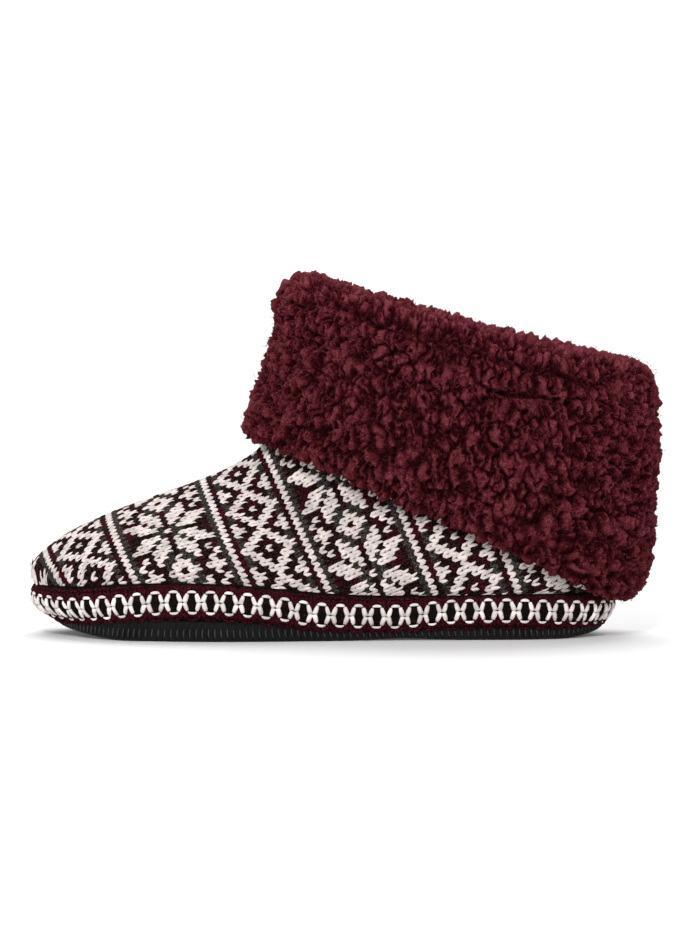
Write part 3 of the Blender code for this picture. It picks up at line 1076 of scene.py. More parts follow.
@dataclass
class TapeBand:
    """Knit tape round the platform: dark cloth, a white chain of ovals and burgundy scallops."""

    last: Last
    oval_pitch: float = 0.0080
    edge_pitch: float = 0.0036
    cord_radius: float = 0.00050
    thickness: float = 0.0022
    middle: dict = table(
        x=(
            -0.1266, -0.110, -0.095, -0.075, -0.060, -0.035, -0.019,
            -0.003, 0.012, 0.035, 0.050, 0.07, 0.1266,
        ),
        z=(
            0.0138, 0.0130, 0.0145, 0.0165, 0.0174, 0.0165, 0.0148,
            0.0120, 0.0112, 0.0108, 0.0122, 0.0130, 0.0108,
        ),
    )

    def __post_init__(self) -> None:
        """Measures the platform's outline once, for places along it."""
        self.angle = np.linspace(0.0, TAU, 2401)
        loop = self.last.platform_loop(self.angle[:-1])
        step = np.linalg.norm(np.roll(loop, -1, axis=0) - loop, axis=1)
        self.length = np.concatenate([[0.0], np.cumsum(step)])
        ahead = around(loop)
        normal = unit(np.stack([ahead[:, 1], -ahead[:, 0]], axis=-1))
        self.loop = np.vstack([loop, loop[:1]])
        self.normal = np.vstack([normal, normal[:1]])

    def plan_at(self, along: Array) -> tuple[Array, Array]:
        """Places and outward directions in plan at lengths along the platform's outline.

        Args:
            along: lengths round the platform.

        Returns:
            The places and the directions.
        """
        along = np.mod(along, self.length[-1])
        plan = np.stack([np.interp(along, self.length, self.loop[:, k]) for k in (0, 1)], axis=-1)
        out = np.stack([np.interp(along, self.length, self.normal[:, k]) for k in (0, 1)], axis=-1)
        return plan, unit(out)

    def on_band(self, along: Array, z: Array) -> tuple[Array, Array]:
        """Places and outward normals on the tape's outer face.

        Args:
            along: lengths round the platform from the toe, by the outer side.
            z: heights above the floor.

        Returns:
            Places and normals.
        """
        plan, out = self.plan_at(along)
        low, high = self.last.rubber_height(plan[:, 0]), self.last.seam_height(plan[:, 0])
        rise = np.clip((z - low) / (high - low), 0.0, 1.0)

        def depth(share: Array) -> Array:
            """How far the tape stands back from the outline at shares of its height.

            Args:
                share: shares of the tape's height.

            Returns:
                The depths.
            """
            tuck = self.last.undercut * smooth(self.last.side, "tuck", self.last.along(plan[:, 0]))
            lower = smooth(self.last.band, "lower", share)
            return lower * tuck + smooth(self.last.band, "upper", share) * self.last.seam_tuck

        step = 0.03
        slope = (depth(np.minimum(rise + step, 1.0)) - depth(np.maximum(rise - step, 0.0))) / (2 * step)
        slope = slope / (high - low)
        place = np.column_stack([plan - out * depth(rise)[:, None], z])
        return place, unit(np.column_stack([out, slope]))

    def build_chain(
        self, painted_light_white: bpy.types.Material, finishes: dict[Yarn, bpy.types.Material], rng: np.random.Generator
    ) -> None:
        """Builds the white chain, the burgundy scallops above and below it and the dark ground.

        A row is one stitch of a repeat in millimetres: both ends along and above the middle line,
        half width and bow.

        Args:
            painted_light_white: material of the white chain, paler than the knit's white yarn by painted
                light.
            finishes: material of each yarn.
            rng: source of small irregularities.
        """
        count = round(self.length[-1] / self.oval_pitch)
        pitch = self.length[-1] / count
        centre = (np.arange(count) + 0.5) * pitch
        unit_mm = pitch / 8.0
        legs = [
            (-3.32, 0.12, -2.15, 3.75, 1.00, -0.24),
            (3.32, 0.12, 2.15, 3.75, 1.00, 0.24),
            (-3.32, -0.12, -2.15, -3.75, 1.00, 0.24),
            (3.32, -0.12, 2.15, -3.75, 1.00, -0.24),
        ]
        caps = [(-2.10, 4.10, 2.10, 4.10, 0.66, 0.36), (2.10, -4.25, -2.10, -4.25, 0.66, 0.36)]
        ground = [(dx, -3.4, dx, 3.4, 0.50, 0.0) for dx in (-1.35, -0.45, 0.45, 1.35)]
        for side in (-0.5, 0.5):
            ground += [(4.0 - side, z - 0.9, 4.0 + side, z + 0.9, 0.45, 0.0) for z in (-7.3, 7.3)]
        scallop = []
        for up in (1.0, -1.0):
            for side in (1.0, -1.0):
                turn = up * side
                for x1, z1, x2, z2, half, bow in (
                    (4.05, 2.30, 2.60, 5.30, 0.85, 0.25),
                    (4.05, 4.30, 2.50, 7.00, 0.85, 0.25),
                    (2.70, 5.40, 0.00, 6.30, 0.85, 0.30),
                    (2.60, 7.10, 0.00, 8.00, 0.80, 0.25),
                ):
                    scallop.append((side * x1, up * z1, side * x2, up * z2, half, turn * bow))
        plain = Stitches()
        blunt = Stitches((-0.95, -0.4, 0.4, 0.93), (1.10, 1.02, 0.96, 0.84))
        coarse = Stitches((-0.8, 0.8), (0.8, 0.8), 4)
        for name, rows, leaf, finish, lift in (
            ("tape_chain_legs", legs, blunt, painted_light_white, 0.60 * MM),
            ("tape_chain_caps", caps, plain, painted_light_white, 0.60 * MM),
            ("tape_scallops", scallop, plain, finishes[Yarn.BURGUNDY], 0.25 * MM),
            ("tape_ground", ground, coarse, finishes[Yarn.BLACK], 0.10 * MM),
        ):
            size = len(rows) * count
            table = np.tile(np.array(rows), (count, 1))
            table[:, :4] += rng.normal(0.0, 0.08, (size, 4))
            where = np.repeat(centre, len(rows))
            start_along, end_along = where + table[:, 0] * unit_mm, where + table[:, 2] * unit_mm
            start, end = [
                self.on_band(along, self.chain_height(along, dz * MM))
                for along, dz in ((start_along, table[:, 1]), (end_along, table[:, 3]))
            ]
            normal = unit(start[1] + end[1])
            fat = 1.0 + rng.normal(0.0, 0.05, size)
            piece = leaf.build(
                name,
                start[0] + start[1] * 0.2 * MM,
                end[0] + end[1] * 0.2 * MM,
                normal,
                table[:, 4] * MM * fat,
                table[:, 4] * MM * 0.62 * fat,
                table[:, 5] * MM,
                lift,
                rng.random(size),
            )
            finish_piece(piece, finish)

    def build_edge(self, finish: bpy.types.Material, rng: np.random.Generator) -> None:
        """Dark strand of short leaves that follows the seam, just under it.

        Args:
            finish: its material.
            rng: source of small irregularities.
        """
        count = round(self.length[-1] / self.edge_pitch)
        step = self.length[-1] / count
        ends = []
        for shift in (0.0, 1.25):
            along = (np.arange(count) + shift) * step
            height = self.last.seam_height(self.plan_at(along)[0][:, 0]) - 1.00 * MM
            ends.append(self.on_band(along, height + rng.normal(0.0, 0.10, count) * MM))
        piece = Stitches().build(
            "tape_edge",
            ends[0][0] + ends[0][1] * 0.1 * MM,
            ends[1][0] + ends[1][1] * 0.1 * MM,
            unit(ends[0][1] + ends[1][1]),
            0.80 * MM,
            0.45 * MM,
            lift=0.15 * MM,
            tone=rng.random(count),
        )
        finish_piece(piece, finish)

    def chain_height(self, along: Array, offset: Array) -> Array:
        """Height of a place beside the chain's middle line, held under the seam and near the rubber.

        Args:
            along: lengths round the platform.
            offset: heights over the middle line.

        Returns:
            The heights.
        """
        x = np.interp(np.mod(along, self.length[-1]), self.length, self.loop[:, 0])
        height = smooth(self.middle, "z", x) + offset
        return np.clip(height, self.last.rubber_height(x) - 1.0 * MM, self.last.seam_height(x) - 0.6 * MM)

    def build_cloth(self, finish: bpy.types.Material) -> None:
        """Dark cloth of the tape, as a ring that follows the bulge.

        Args:
            finish: its material.
        """
        along = np.linspace(0.0, self.length[-1], 300, endpoint=False)
        x = np.interp(along, self.length, self.loop[:, 0])
        low, high = self.last.rubber_height(x) + self.last.gap, self.last.seam_height(x)
        outer, inner = [], []
        for share in np.linspace(0.0, 1.0, 14):
            place, normal = self.on_band(along, low + share * (high - low))
            outer.append(place)
            inner.append(place - level(normal) * self.thickness)
        finish_piece(ring_piece("tape_cloth", np.array(outer + inner[::-4])), finish, "tape_band")

    def build_seam(self, finish: bpy.types.Material) -> None:
        """Thin dark cord that lies in the seam between tape and knit; its darkness is partly painted shade
        for the shadow gap in the seam's crease.

        Args:
            finish: its material.
        """
        along = np.linspace(0.0, self.length[-1], 360, endpoint=False)
        x = np.interp(along, self.length, self.loop[:, 0])
        place, normal = self.on_band(along, self.last.seam_height(x))
        out = level(normal)
        turn = np.linspace(0.0, TAU, 8, endpoint=False)
        radius = self.cord_radius
        middle = place - out * 0.25 * MM + np.array([0.0, 0.0, 0.15 * MM])
        loops = [middle + out * radius * math.cos(a) + np.array([0, 0, radius * math.sin(a)]) for a in turn]
        finish_piece(ring_piece("seam_cord_painted_shade", np.array(loops)), finish)


@dataclass
class SoleRibs:
    """Paler crests of the ribs round the lower half of the rubber's side: a painted highlight where the
    crests catch the light.
    """

    tape: TapeBand
    pitch: float = 0.0028
    foot: float = 0.0016
    head: float = 0.0056
    half_width: float = 0.00028
    step: float = 0.0005
    lean: float = 0.0005
    toe_spring: float = 0.0046
    toe_spring_length: float = 0.030
    heel_lift: float = 0.0034
    heel_lift_length: float = 0.021
    edge: float = 0.006

    def build(self, finish: bpy.types.Material) -> None:
        """Builds one thin upright leaf on each rib.

        A rib leans by a slow wave along the side, and starts as high as the sole stands off the
        floor there: a power of the distance past the toe's and heel's rocker lines.

        Args:
            finish: their material.
        """
        last = self.tape.last
        count = round(self.tape.length[-1] / self.pitch)
        along = np.arange(count) * self.tape.length[-1] / count
        ends = []
        for z, lean in ((self.foot, -self.lean), (self.head, self.lean)):
            plan, out = self.tape.plan_at(along + lean * np.sin(along * 21.0 + 1.0))
            tuck = last.undercut * smooth(last.side, "tuck", last.along(plan[:, 0])) + self.step
            place = plan - out * (tuck + 0.30 * MM)[:, None]
            x, outline = place[:, 0], self.tape.loop[:, 0]
            toe, heel = outline.min() + self.edge, outline.max() - self.edge
            past_toe = np.clip((toe + self.toe_spring_length - x) / self.toe_spring_length, 0.0, 1.0)
            past_heel = np.clip((x - heel + self.heel_lift_length) / self.heel_lift_length, 0.0, 1.0)
            lift = self.toe_spring * past_toe**1.5 + self.heel_lift * past_heel**2
            ends.append(np.column_stack([place, lift + z]))
        normal = np.column_stack([out, np.zeros(count)])
        piece = Stitches((-0.8, 0.0, 0.8), (0.8, 1.0, 0.8), 5).build(
            "sole_rib_painted_highlights",
            ends[0],
            ends[1],
            normal,
            self.half_width,
            0.45 * MM,
            0.2 * MM,
        )
        finish_piece(piece, finish)


@dataclass(frozen=True)
class FleecePile:
    """Curly pile: domed nubs with smaller curls on them, and short gashes between them."""

    nub: tuple[float, float, float] = (0.0046, 0.0046, 0.0090)
    bud: tuple[float, float, float] = (0.0026, 0.0026, 0.0040)
    strand: tuple[float, float, float] = (0.0014, 0.0014, 0.0036)
    gash: tuple[float, float, float] = (0.0019, 0.0019, 0.0085)
    nub_height: float = 0.0028
    crack_depth: float = 0.0030
    bud_height: float = 0.0010
    split_depth: float = 0.0007
    strand_height: float = 0.0007
    gash_depth: float = 0.0024
    grain: float = 0.0006
    wander: float = 0.0018
    wander_size: float = 0.0060
    swirl: float = 0.0006
    swirl_size: float = 0.0022
    fan_start: float = 0.26
    fan_slope: float = 3.4
    fan_limit: float = 0.3

    def grow(self, points: Array, normals: Array, seed: int) -> tuple[Array, Array]:
        """Moves points out by the pile over them.

        The height is a dome on each scattered nub, plus smaller domes and fine noise, less what the
        cracks, splits and gashes take. The rows of curls fan out from the cuff's front to its heel.

        Args:
            points: places on the mean surface.
            normals: outward directions.
            seed: picks the scatter.

        Returns:
            Moved places, and a painted shade for the pile's colour: 0 deep in a crack, where shade falls, up
            to 0.7 on the higher curls, which are painted lighter.
        """
        bent = points + drift(points, self.wander_size, seed) * self.wander
        bent = bent + drift(points, self.swirl_size, seed + 50) * self.swirl
        fan = self.fan_start - self.fan_slope * (points[:, 0] + 0.03)
        bent[:, 0] -= np.clip(fan, -self.fan_limit, self.fan_limit) * (points[:, 2] - 0.1)
        near, apart, number = clumps(bent, self.nub, seed + 11)
        small, split, _ = clumps(bent, self.bud, seed + 23)
        broken = ease(-0.60, 0.00, soft_noise(points, 0.0060, seed + 29))
        crack = (1.0 - ease(0.03, 0.22, apart)) * broken
        split = (1.0 - ease(0.02, 0.28, split)) * ease(-0.35, 0.15, soft_noise(points, 0.0030, seed + 61))
        gash = ease(0.15, 0.36, -soft_noise(bent, self.gash, seed + 31))
        dome = 1.0 - np.clip(near, 0.0, 1.1) ** 2
        bud = 1.0 - np.clip(small, 0.0, 1.1) ** 2
        body = self.nub_height * dome * (0.7 + 0.5 * number) + self.bud_height * bud
        body = body + self.strand_height * soft_noise(bent, self.strand, seed + 41)
        body = body + self.grain * soft_noise(points, 0.0010, seed + 37)
        # Painted shade and light: the colour darkens in cracks, gashes and splits and lightens on the higher
        # nubs, as light falls on them.
        low, high = np.percentile(body, (3, 97))
        shade = (0.55 + 0.19 * (body - low) / (high - low)) * (1.0 - 0.92 * np.maximum(crack, gash))
        shade = shade * (1.0 - 0.38 * split)
        height = body - self.crack_depth * crack - self.gash_depth * gash - self.split_depth * split
        swirl = drift(points, self.swirl_size, seed + 70) * self.swirl
        return points + normals * (height - height.mean())[:, None] + swirl, np.clip(shade, 0.0, 1.0)


@dataclass(frozen=True)
class Groove:
    """Trough given by places in x and z, depth, width, its side (1 outer, -1 inner, 0 both), and the painted
    shade in it.
    """

    places: tuple[tuple[float, float], ...]
    depth: float
    width: float
    side: float = 1.0
    # Painted shade: how much darker the pile is coloured along the trough.
    shade: float = 0.7


@dataclass
class FleeceCuff:
    """Fleece turned down over the shaft: flap, rolled top and a leg inside the collar."""

    last: Last
    pile: FleecePile = field(default_factory=FleecePile)
    wall: float = 0.003
    soft_gap: float = 0.0006
    flap_thickness: float = 0.0105
    roll_radius: float = 0.0112
    roll_rise: float = 0.0012
    inner_depth: float = 0.22
    flap: dict = table(
        up=(0.00, 0.20, 0.45, 0.70, 0.90, 1.00),
        thickness=(1.02, 1.06, 1.00, 0.96, 0.93, 1.02),
    )
    rows_outside: int = 206
    rows_inside: int = 44
    near_columns: int = 430
    far_columns: int = 270
    near_wisps: int = 4600
    far_wisps: int = 2000
    wisp_width: float = 0.00010
    # Painted light: how much lighter the pile is coloured where the surface faces up, on the roll.
    painted_roll_light: float = 0.26
    grooves: tuple = (
        Groove(((-0.0225, 0.1570), (-0.0190, 0.1600)), 0.0045, 0.0075, 0.0, 0.1),
        Groove(((0.006, 0.143), (0.014, 0.141), (0.024, 0.139)), 0.0018, 0.0030),
        Groove(
            ((0.030, 0.138), (0.040, 0.131), (0.048, 0.131), (0.059, 0.126), (0.070, 0.123)), 0.0030, 0.0030
        ),
        Groove(((0.070, 0.123), (0.078, 0.119), (0.096, 0.116), (0.118, 0.108)), 0.0016, 0.0030),
        Groove(((0.071, 0.1070), (0.086, 0.1054), (0.100, 0.1036)), 0.0036, 0.0015, 1.0, 1.0),
        Groove(((0.122, 0.0120), (0.132, 0.0130)), 0.0030, 0.0060, 0.0, 0.0),
        Groove(((0.005, 0.138), (0.030, 0.131), (0.060, 0.121), (0.090, 0.111)), 0.0014, 0.0040, -1.0),
    )
    grown: dict = field(default_factory=dict)

    def section_rows(self, angle: Array) -> Array:
        """Rows of the cuff's section, from the hem up, over the roll and back down inside.

        Args:
            angle: loop angles.

        Returns:
            The section's rows, by columns, by 3.
        """
        hem = self.last.hem_rise(angle)
        rows = []

        def along_form(rise: Array, out: float, drop: float = 0.0) -> Array:
            """Row of the form at a rise, moved out and down."""
            curve, normal, up = self.last.frame_at(angle, rise)
            return curve + normal * out - up * drop

        thick, gap = self.flap_thickness, self.soft_gap
        rows.append(along_form(hem, gap + 0.25 * thick, 0.40 * thick))
        rows.append(along_form(hem, gap + 0.75 * thick, 0.42 * thick))
        for up, share in zip(*self.flap.values()):
            rows.append(along_form(hem + (1.0 - hem) * up, gap + share * thick))
        top, normal, up = self.last.frame_at(angle, 1.0)
        inner = self.wall + gap + thick * 0.75
        middle, half = (gap + thick - inner) / 2, (inner + gap + thick) / 2
        for turn in np.radians([25.0, 60.0, 95.0, 130.0, 160.0]):
            out = middle + half * math.cos(turn)
            rows.append(top + normal * out + up * (self.roll_rise + self.roll_radius * math.sin(turn)))
        rows.append(along_form(1.0, -inner))
        rows.append(along_form(1.0 - self.inner_depth, -inner))
        rows.append(along_form(1.0 - self.inner_depth, -(inner + self.wall) / 2, thick / 3))
        self.visible_rows = len(rows)
        rows.append(along_form(1.0 - self.inner_depth, -self.wall - gap))
        rows.append(top - normal * (self.wall + gap) + up * gap)
        rows.append(top + normal * gap + up * gap)
        for share_up in (0.8, 0.55, 0.3, 0.12, 0.0):
            rows.append(along_form(hem + (1.0 - hem) * share_up, gap))
        return np.array(rows)

    def section_weights(self, rows: Array) -> tuple[Array, Array]:
        """Weights that resample the section's rows on a smooth closed curve.

        Args:
            rows: the section's rows, by columns, by 3.

        Returns:
            Weights, and the share of the pile that grows at each new row.
        """
        count, seen = len(rows), self.visible_rows
        step = np.linalg.norm(np.roll(rows, -1, axis=0) - rows, axis=2).mean(axis=1)
        place = np.concatenate([[0.0], np.cumsum(step)])
        shown = np.linspace(0.0, place[seen - 1], self.rows_outside, endpoint=False)
        hidden = np.linspace(place[seen - 1], place[-1], self.rows_inside // 2, endpoint=False)
        at = np.interp(np.concatenate([shown, hidden]), place, np.arange(count + 1))
        i, t = np.floor(at).astype(int), at - np.floor(at)
        weights = np.zeros((len(at), count))
        basis = np.stack(
            [
                -0.5 * t + t**2 - 0.5 * t**3,
                1.0 - 2.5 * t**2 + 1.5 * t**3,
                0.5 * t + 2.0 * t**2 - 1.5 * t**3,
                -0.5 * t**2 + 0.5 * t**3,
            ],
            axis=1,
        )
        for k in range(4):
            np.add.at(weights, (np.arange(len(at)), (i + k - 1) % count), basis[:, k])
        fade = np.clip((place[seen - 1] - np.concatenate([shown, hidden])) / 0.006, 0.0, 1.0)
        start = np.clip(np.concatenate([shown, hidden]) / 0.003, 0.0, 1.0)
        return weights, fade * np.where(fade > 0, np.maximum(start, 0.25), 0.0)

    def shape(self, points: Array, normals: Array) -> tuple[Array, Array]:
        """Presses the listed grooves into the cuff.

        Each groove runs through a few places in x and z on the side it is seen from. Its depth
        falls off with the square of the distance from it, like a bell, and so does the shade painted into
        its trough. Where the surface faces up, on the roll, the pile is painted lighter, as more light falls
        there.

        Args:
            points: places on the mean surface.
            normals: outward directions.

        Returns:
            Moved places, and a factor for the pile's colour: painted light on the roll, painted shade in the
            grooves.
        """
        # Painted light on the roll's top and painted shade along each groove, kept as a factor on the pile's
        # colour.
        depth, light = np.zeros(len(points)), 1.0 + self.painted_roll_light * ease(0.30, 0.90, normals[:, 2])
        for groove in self.grooves:
            line = np.array(groove.places)
            start, step = line[:-1], np.diff(line, axis=0)
            away = points[:, None, [0, 2]] - start
            share = np.clip((away * step).sum(-1) / (step * step).sum(-1), 0.0, 1.0)
            distance = np.linalg.norm(away - share[..., None] * step, axis=-1).min(axis=1)
            side = ease(0.15, 0.6, -normals[:, 1] * groove.side) if groove.side else 1.0
            depth += groove.depth * np.exp(-((distance / groove.width) ** 2)) * side
            light *= 1.0 - groove.shade * np.exp(-((distance / (0.45 * groove.width)) ** 2)) * side
        return points - normals * depth[:, None], light

    def build_half(self, name: str, first: float, last: float, columns: int) -> bpy.types.Object:
        """Builds the cuff between two loop angles as a closed piece with its pile grown out of it.

        Args:
            name: the piece's name.
            first: loop angle where it starts.
            last: loop angle where it ends.
            columns: how many columns it has.

        Returns:
            The piece.
        """
        pad = 2
        step = (last - first) / (columns - 1)
        angle = first + step * np.arange(-pad, columns + pad)
        whole = self.section_rows(angle)
        weights, share = self.section_weights(whole)
        surface = np.tensordot(weights, whole, axes=(1, 0))
        ahead = surface[:, 2:] - surface[:, :-2]
        above = around(surface)[:, 1:-1]
        normal = unit(np.cross(ahead, above))[:, 1:-1]
        surface = surface[:, pad:-pad]
        flat, out = surface.reshape(-1, 3), normal.reshape(-1, 3)
        share = np.repeat(share, columns)
        pressed, light = self.shape(flat, out)
        flat = flat + (pressed - flat) * share[:, None]
        moved, pile = self.pile.grow(flat, out, 5)
        place = flat + (moved - flat) * share[:, None]
        rows = len(surface)
        corner = np.arange(rows * columns).reshape(rows, columns)
        over = np.roll(corner, -1, axis=0)
        quads = np.stack([corner[:, :-1], corner[:, 1:], over[:, 1:], over[:, :-1]], axis=-1)
        caps = np.stack([corner[:, 0], corner[::-1, -1]])
        piece = build_piece(name, place, quads.reshape(-1, 4), caps)
        # The pile's colour carries its painted shade times the roll's painted light and the grooves' painted
        # shade.
        give_value(piece, "pile", np.where(share > 0, pile * light, 0.3))
        self.grown[name] = place, out, share
        return piece

    def build(self, fleece: bpy.types.Material, wisp: bpy.types.Material, rng: np.random.Generator) -> None:
        """Builds both halves of the cuff and the loose fibres on them.

        Args:
            fleece: material of the pile.
            wisp: material of the loose fibres.
            rng: source of the fibres' scatter.
        """
        near = self.build_half("cuff_outer_half", 0.0, math.pi, self.near_columns)
        far = self.build_half("cuff_inner_half", math.pi, TAU, self.far_columns)
        for piece in (near, far):
            finish_piece(piece, fleece, "cuff")
        for name, half, count in (
            ("cuff_outer_wisps", near, self.near_wisps),
            ("cuff_inner_wisps", far, self.far_wisps),
        ):
            finish_piece(self.build_wisps(name, half.name, count, rng), wisp)

    def build_wisps(self, name: str, half: str, count: int, rng: np.random.Generator) -> bpy.types.Object:
        """Loose fibres: thin bent leaves that stand out of the pile.

        Args:
            name: the piece's name.
            half: name of the half that carries them.
            count: how many there are.
            rng: source of their scatter.

        Returns:
            The piece.
        """
        place, out, share = self.grown[half]
        pick = rng.choice(np.flatnonzero(share > 0.9), count, replace=False)
        lean = unit(out[pick] * rng.uniform(0.0, 0.7, (count, 1)) + rng.normal(0.0, 0.6, (count, 3)))
        length = rng.uniform(1.2, 3.2, (count, 1)) * MM
        start = place[pick] + out[pick] * 0.1 * MM
        side = unit(np.cross(lean, rng.normal(0.0, 1.0, (count, 3))))
        return Stitches((-0.4, 0.4), (1.0, 0.9), 3).build(
            name,
            start,
            start + lean * length,
            side,
            self.wisp_width,
            self.wisp_width,
            rng.normal(0.0, 0.45, count) * MM,
            rng.normal(0.0, 0.45, count) * MM,
            rng.random(count),
        )


@dataclass
class FleeceInside:
    """Fleece lining of the shoe's inside and its fleece footbed."""

    last: Last
    wall: float = 0.003
    soft_gap: float = 0.0006
    footbed_thickness: float = 0.0055
    spine_ends: tuple[float, float] = (-0.085, 0.09)
    pile: FleecePile = FleecePile(nub_height=0.0016, crack_depth=0.0008, bud_height=0.0009, gash_depth=0.0008)

    def build_lining(self, finish: bpy.types.Material) -> None:
        """Lining that covers the wall from the footbed up to the cuff's inner leg.

        Args:
            finish: its material.
        """
        angle = np.linspace(0.0, TAU, 300, endpoint=False)
        rises = np.linspace(0.03, 0.80, 64)
        inner, outer = [], []
        for rise in rises:
            curve, normal, _ = self.last.frame_at(angle, rise)
            depth = self.wall + 0.0045 + 0.0035 * rise / 0.8
            inner.append(curve - normal * depth)
            outer.append(curve - normal * (self.wall + 0.0004))
        loops = np.array(outer[::4] + inner[::-1])
        start = len(outer[::4])
        normal = unit(np.cross(around(loops, 1), around(loops))).reshape(-1, 3)
        moved, pile = self.pile.grow(loops.reshape(-1, 3), normal, 71)
        moved = moved.reshape(loops.shape)
        moved[:start] = loops[:start]
        piece = ring_piece("lining", moved)
        # The pile attribute carries the painted shade of the pile's cracks and the painted light of its
        # higher curls.
        give_value(piece, "pile", pile)
        finish_piece(piece, finish)

    def build_footbed(self, finish: bpy.types.Material) -> None:
        """Footbed with short curly pile: loops that shrink to the middle line.

        Args:
            finish: its material.
        """
        angle = np.linspace(0.0, TAU, 240, endpoint=False)
        edge = inset(self.last.point(angle, 0.0)[:, :2], self.wall + self.soft_gap)
        spine = np.column_stack([np.clip(edge[:, 0], *self.spine_ends), self.last.swing(edge[:, 0])])
        loops = []
        for share, lift in ((1.0, 0.0), (1.0, 0.003), (0.985, 0.0045)):
            loops.append(self.footbed_loop(edge, spine, share, lift))
        for share in np.linspace(0.97, 0.0, 40):
            loops.append(self.footbed_loop(edge, spine, share, self.footbed_thickness))
        loops = np.array(loops)
        rows, columns = loops.shape[:2]
        corner = np.arange(rows * columns).reshape(rows, columns)
        ahead = np.roll(corner, -1, axis=1)
        quads = np.stack([corner[:-1], ahead[:-1], ahead[1:], corner[1:]], axis=-1).reshape(-1, 4)
        half = columns // 2
        low = corner[0]
        across = np.arange(1, half - 1)
        bottom = np.stack([low[across], low[-across], low[-across - 1], low[across + 1]], axis=-1)
        top_row = corner[-1]
        top = [top_row[across], top_row[across + 1], top_row[-across - 1], top_row[-across]]
        top = np.stack(top, axis=-1)
        ends = np.array(
            [
                [low[0], low[-1], low[1]],
                [low[half], low[half - 1], low[half + 1]],
                [top_row[0], top_row[1], top_row[-1]],
                [top_row[half], top_row[half + 1], top_row[half - 1]],
            ]
        )
        flat = loops.reshape(-1, 3)
        up = np.tile([0.0, 0.0, 1.0], (len(flat), 1))
        moved, pile = self.pile.grow(flat, up, 91)
        keep = np.arange(len(flat)) < 2 * columns
        moved[keep] = flat[keep]
        piece = build_piece("footbed_fleece", moved, np.concatenate([quads, bottom, top]), ends)
        # The pile attribute carries the painted shade of the pile's cracks and the painted light of its
        # higher curls.
        give_value(piece, "pile", pile)
        finish_piece(piece, finish, "insole")

    def footbed_loop(self, edge: Array, spine: Array, share: float, lift: float) -> Array:
        """Loop between the footbed's middle line and its edge, lifted off the midsole."""
        plan = spine + (edge - spine) * share
        return np.column_stack([plan, self.last.seam_height(plan[:, 0]) + self.last.gap + lift])


@dataclass
class Studio:
    """Pale floor, soft lights and the camera of the photograph."""

    metres_per_pixel: float = 0.00043
    width: int = 700
    height: int = 933
    distance: float = 2.6
    elevation: float = 3.0
    target: tuple[float, float, float] = (0.012, -0.02, 0.0739)
    sensor: float = 36.0
    floor_shade: float = 0.78
    floor_glow: float = 0.08
    surround: float = 0.46
    sun: float = 2.85
    sun_spread: float = 62.0
    sun_tilt: tuple[float, float] = (-38.0, 3.0)
    front: float = 43.0
    front_place: tuple[float, float, float] = (-0.3, -2.2, 1.5)
    front_aim: tuple[float, float, float] = (0.0, 0.0, 0.06)
    front_size: float = 0.7
    floor_reach: float = 7.0
    backdrop_distance: float = 6.0
    backdrop_height: float = 0.6

    def build_camera(self) -> None:
        """Camera that looks along +Y from a little above, with the photograph's scale."""
        data = bpy.data.cameras.new("camera")
        camera = add_object("camera", data)
        lift = math.radians(self.elevation)
        x, y, z = self.target
        camera.location = (x, y - self.distance * math.cos(lift), z + self.distance * math.sin(lift))
        camera.rotation_euler = (math.pi / 2 - lift, 0.0, 0.0)
        data.sensor_width = self.sensor
        data.lens = self.sensor * self.distance / (self.height * self.metres_per_pixel)
        data.clip_end = 50.0
        bpy.context.scene.camera = camera

    def plain_finish(self, name: str, colour: float, glow: float) -> bpy.types.Material:
        """Matt pale finish that may glow, for the floor and the backdrop."""
        values = {
            "Base Color": (colour, colour, colour, 1.0),
            "Roughness": 0.9,
            "Specular IOR Level": 0.1,
            "Emission Color": (1.0, 1.0, 1.0, 1.0),
            "Emission Strength": glow,
        }
        return new_material(name, values)[0]

    def build_floor(self) -> None:
        """Wide pale floor under the sole and a bright backdrop far behind it."""
        size, back, top = self.floor_reach, self.backdrop_distance, self.backdrop_height
        corners = np.array([[-size, -size, 0.0], [size, -size, 0.0], [size, back, 0.0], [-size, back, 0.0]])
        floor = build_piece("floor", corners, np.array([[0, 1, 2, 3]]))
        floor.data.materials.append(self.plain_finish("floor", self.floor_shade, self.floor_glow))
        corners = np.array([[-size, back, 0.0], [size, back, 0.0], [size, back, top], [-size, back, top]])
        backdrop = build_piece("backdrop", corners, np.array([[0, 1, 2, 3]]))
        backdrop.data.materials.append(self.plain_finish("backdrop", 0.5, 1.0))
        backdrop.visible_shadow = False

    def build_lights(self) -> None:
        """Dim surround, a wide soft sun from above and a soft box from the front left."""
        world = bpy.data.worlds.new("world")
        bpy.context.scene.world = world
        world.use_nodes = True
        world.node_tree.nodes["Background"].inputs["Color"].default_value = (1.0, 1.0, 1.0, 1.0)
        world.node_tree.nodes["Background"].inputs["Strength"].default_value = self.surround
        data = bpy.data.lights.new("top_light", "SUN")
        data.energy, data.angle = self.sun, math.radians(self.sun_spread)
        lamp = add_object("top_light", data)
        lamp.rotation_euler = (*np.radians(self.sun_tilt), 0.0)
        self.soft_box("front_light", self.front_place, self.front_aim, self.front_size, self.front)
        bpy.context.scene.view_settings.view_transform = "Standard"

    def soft_box(self, name: str, place: tuple, aim: tuple, size: float, power: float) -> None:
        """Square area light turned to a point.

        Args:
            name: the light's name.
            place: where it stands.
            aim: what it faces.
            size: length of its side.
            power: its power in watts.
        """
        data = bpy.data.lights.new(name, "AREA")
        data.size, data.energy = size, power
        lamp = add_object(name, data)
        lamp.location = place
        way = np.array(aim) - np.array(place)
        yaw = math.atan2(way[1], way[0]) - math.pi / 2
        lamp.rotation_euler = (math.acos(-way[2] / np.linalg.norm(way)), 0.0, yaw)


def dress_node(name: str, finish: bpy.types.Material) -> None:
    """Gives a solid that stays in sight its finish.

    Args:
        name: the solid's node.
        finish: its material.
    """
    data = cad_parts[name].data
    data.materials.clear()
    data.materials.append(finish)


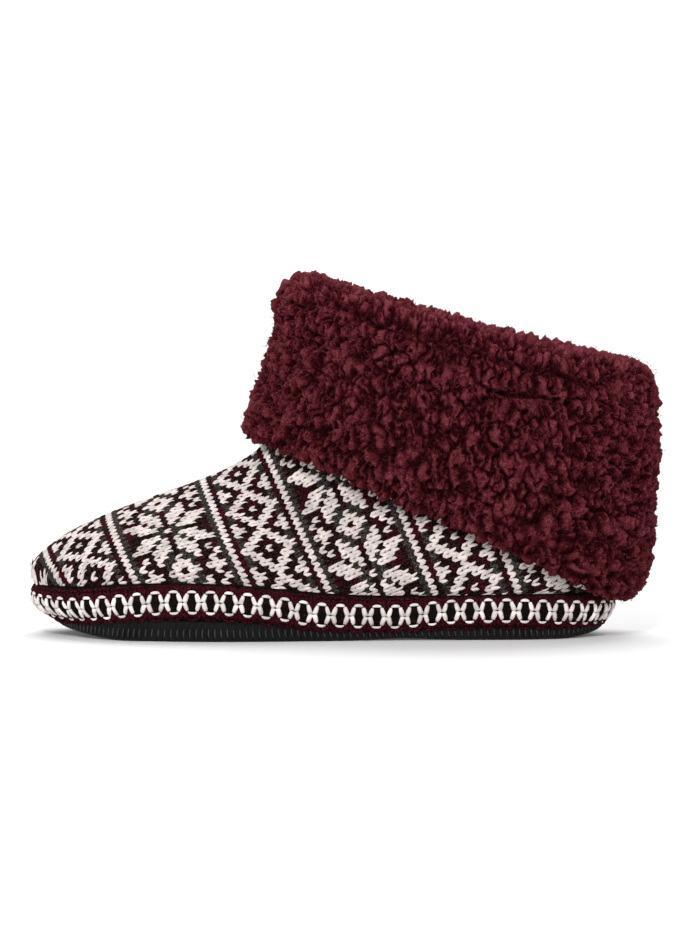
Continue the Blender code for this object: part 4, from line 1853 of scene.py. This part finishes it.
def main() -> None:
    """Builds every sub-assembly in order and reports it."""
    logging.basicConfig(level=logging.INFO)
    studio = Studio()
    studio.build_camera()
    studio.build_floor()
    studio.build_lights()
    rng = np.random.default_rng(20)
    last = Last()
    fibre = fibre_group()
    yarns = {
        Yarn.WHITE: YarnFinish("white_yarn", (0.74, 0.65, 0.625), (0.94, 0.88, 0.86), 0.4, 0.00042, 1.0),
        Yarn.BLACK: YarnFinish("black_yarn", (0.0055, 0.0016, 0.0020), (0.170, 0.070, 0.074), 0.60, 0.00048),
        Yarn.GREY: YarnFinish("grey_yarn", (0.018, 0.015, 0.0135), (0.29, 0.26, 0.245), 0.60, 0.00050),
        Yarn.BURGUNDY: YarnFinish(
            "burgundy_yarn", (0.028, 0.0024, 0.0054), (0.170, 0.036, 0.052), 0.55, 0.00048
        ),
    }
    finishes = {yarn: finish.build(fibre) for yarn, finish in yarns.items()}
    cloth = YarnFinish("dark_cloth", (0.006, 0.0035, 0.0035), (0.03, 0.02, 0.02), 0.4, toned=False)
    dark = cloth.build(fibre)
    fleece = FleeceFinish("burgundy_fleece").build()
    rubber = RubberFinish("black_rubber").build()
    foam = YarnFinish("foam", (0.3, 0.27, 0.26), (0.4, 0.37, 0.36), 0.2, toned=False).build(fibre)
    dress_node("outsole", rubber)
    dress_node("midsole", foam)
    knit = KnitUpper(last)
    knit.build_cloth(dark)
    knit.build_stitches(finishes, rng)
    tape = TapeBand(last)
    tape.build_cloth(dark)
    # The tape's white is paler than the knit's white yarn: painted light for the upright tape, which faces
    # the light less than the knit's upper.
    painted_light_white = YarnFinish("tape_white_painted_light", (0.88, 0.81, 0.785), (0.96, 0.92, 0.90), 0.3, 0.00045).build(fibre)
    tape.build_chain(painted_light_white, finishes, rng)
    tape.build_edge(finishes[Yarn.BLACK], rng)
    tape.build_seam(dark)
    # Pale rubber for the ribs' crests: a painted highlight.
    wear_and_painted_highlight = RubberFinish("rib_painted_highlight", (0.055, 0.053, 0.052), (0.120, 0.115, 0.110)).build()
    SoleRibs(tape).build(wear_and_painted_highlight)
    wisp = YarnFinish("fleece_wisp", (0.200, 0.052, 0.062), (0.46, 0.20, 0.21), 0.4).build(fibre)
    FleeceCuff(last).build(fleece, wisp, rng)
    inside = FleeceInside(last)
    inside.build_lining(fleece)
    inside.build_footbed(fleece)


if __name__ == "__main__":
    main()
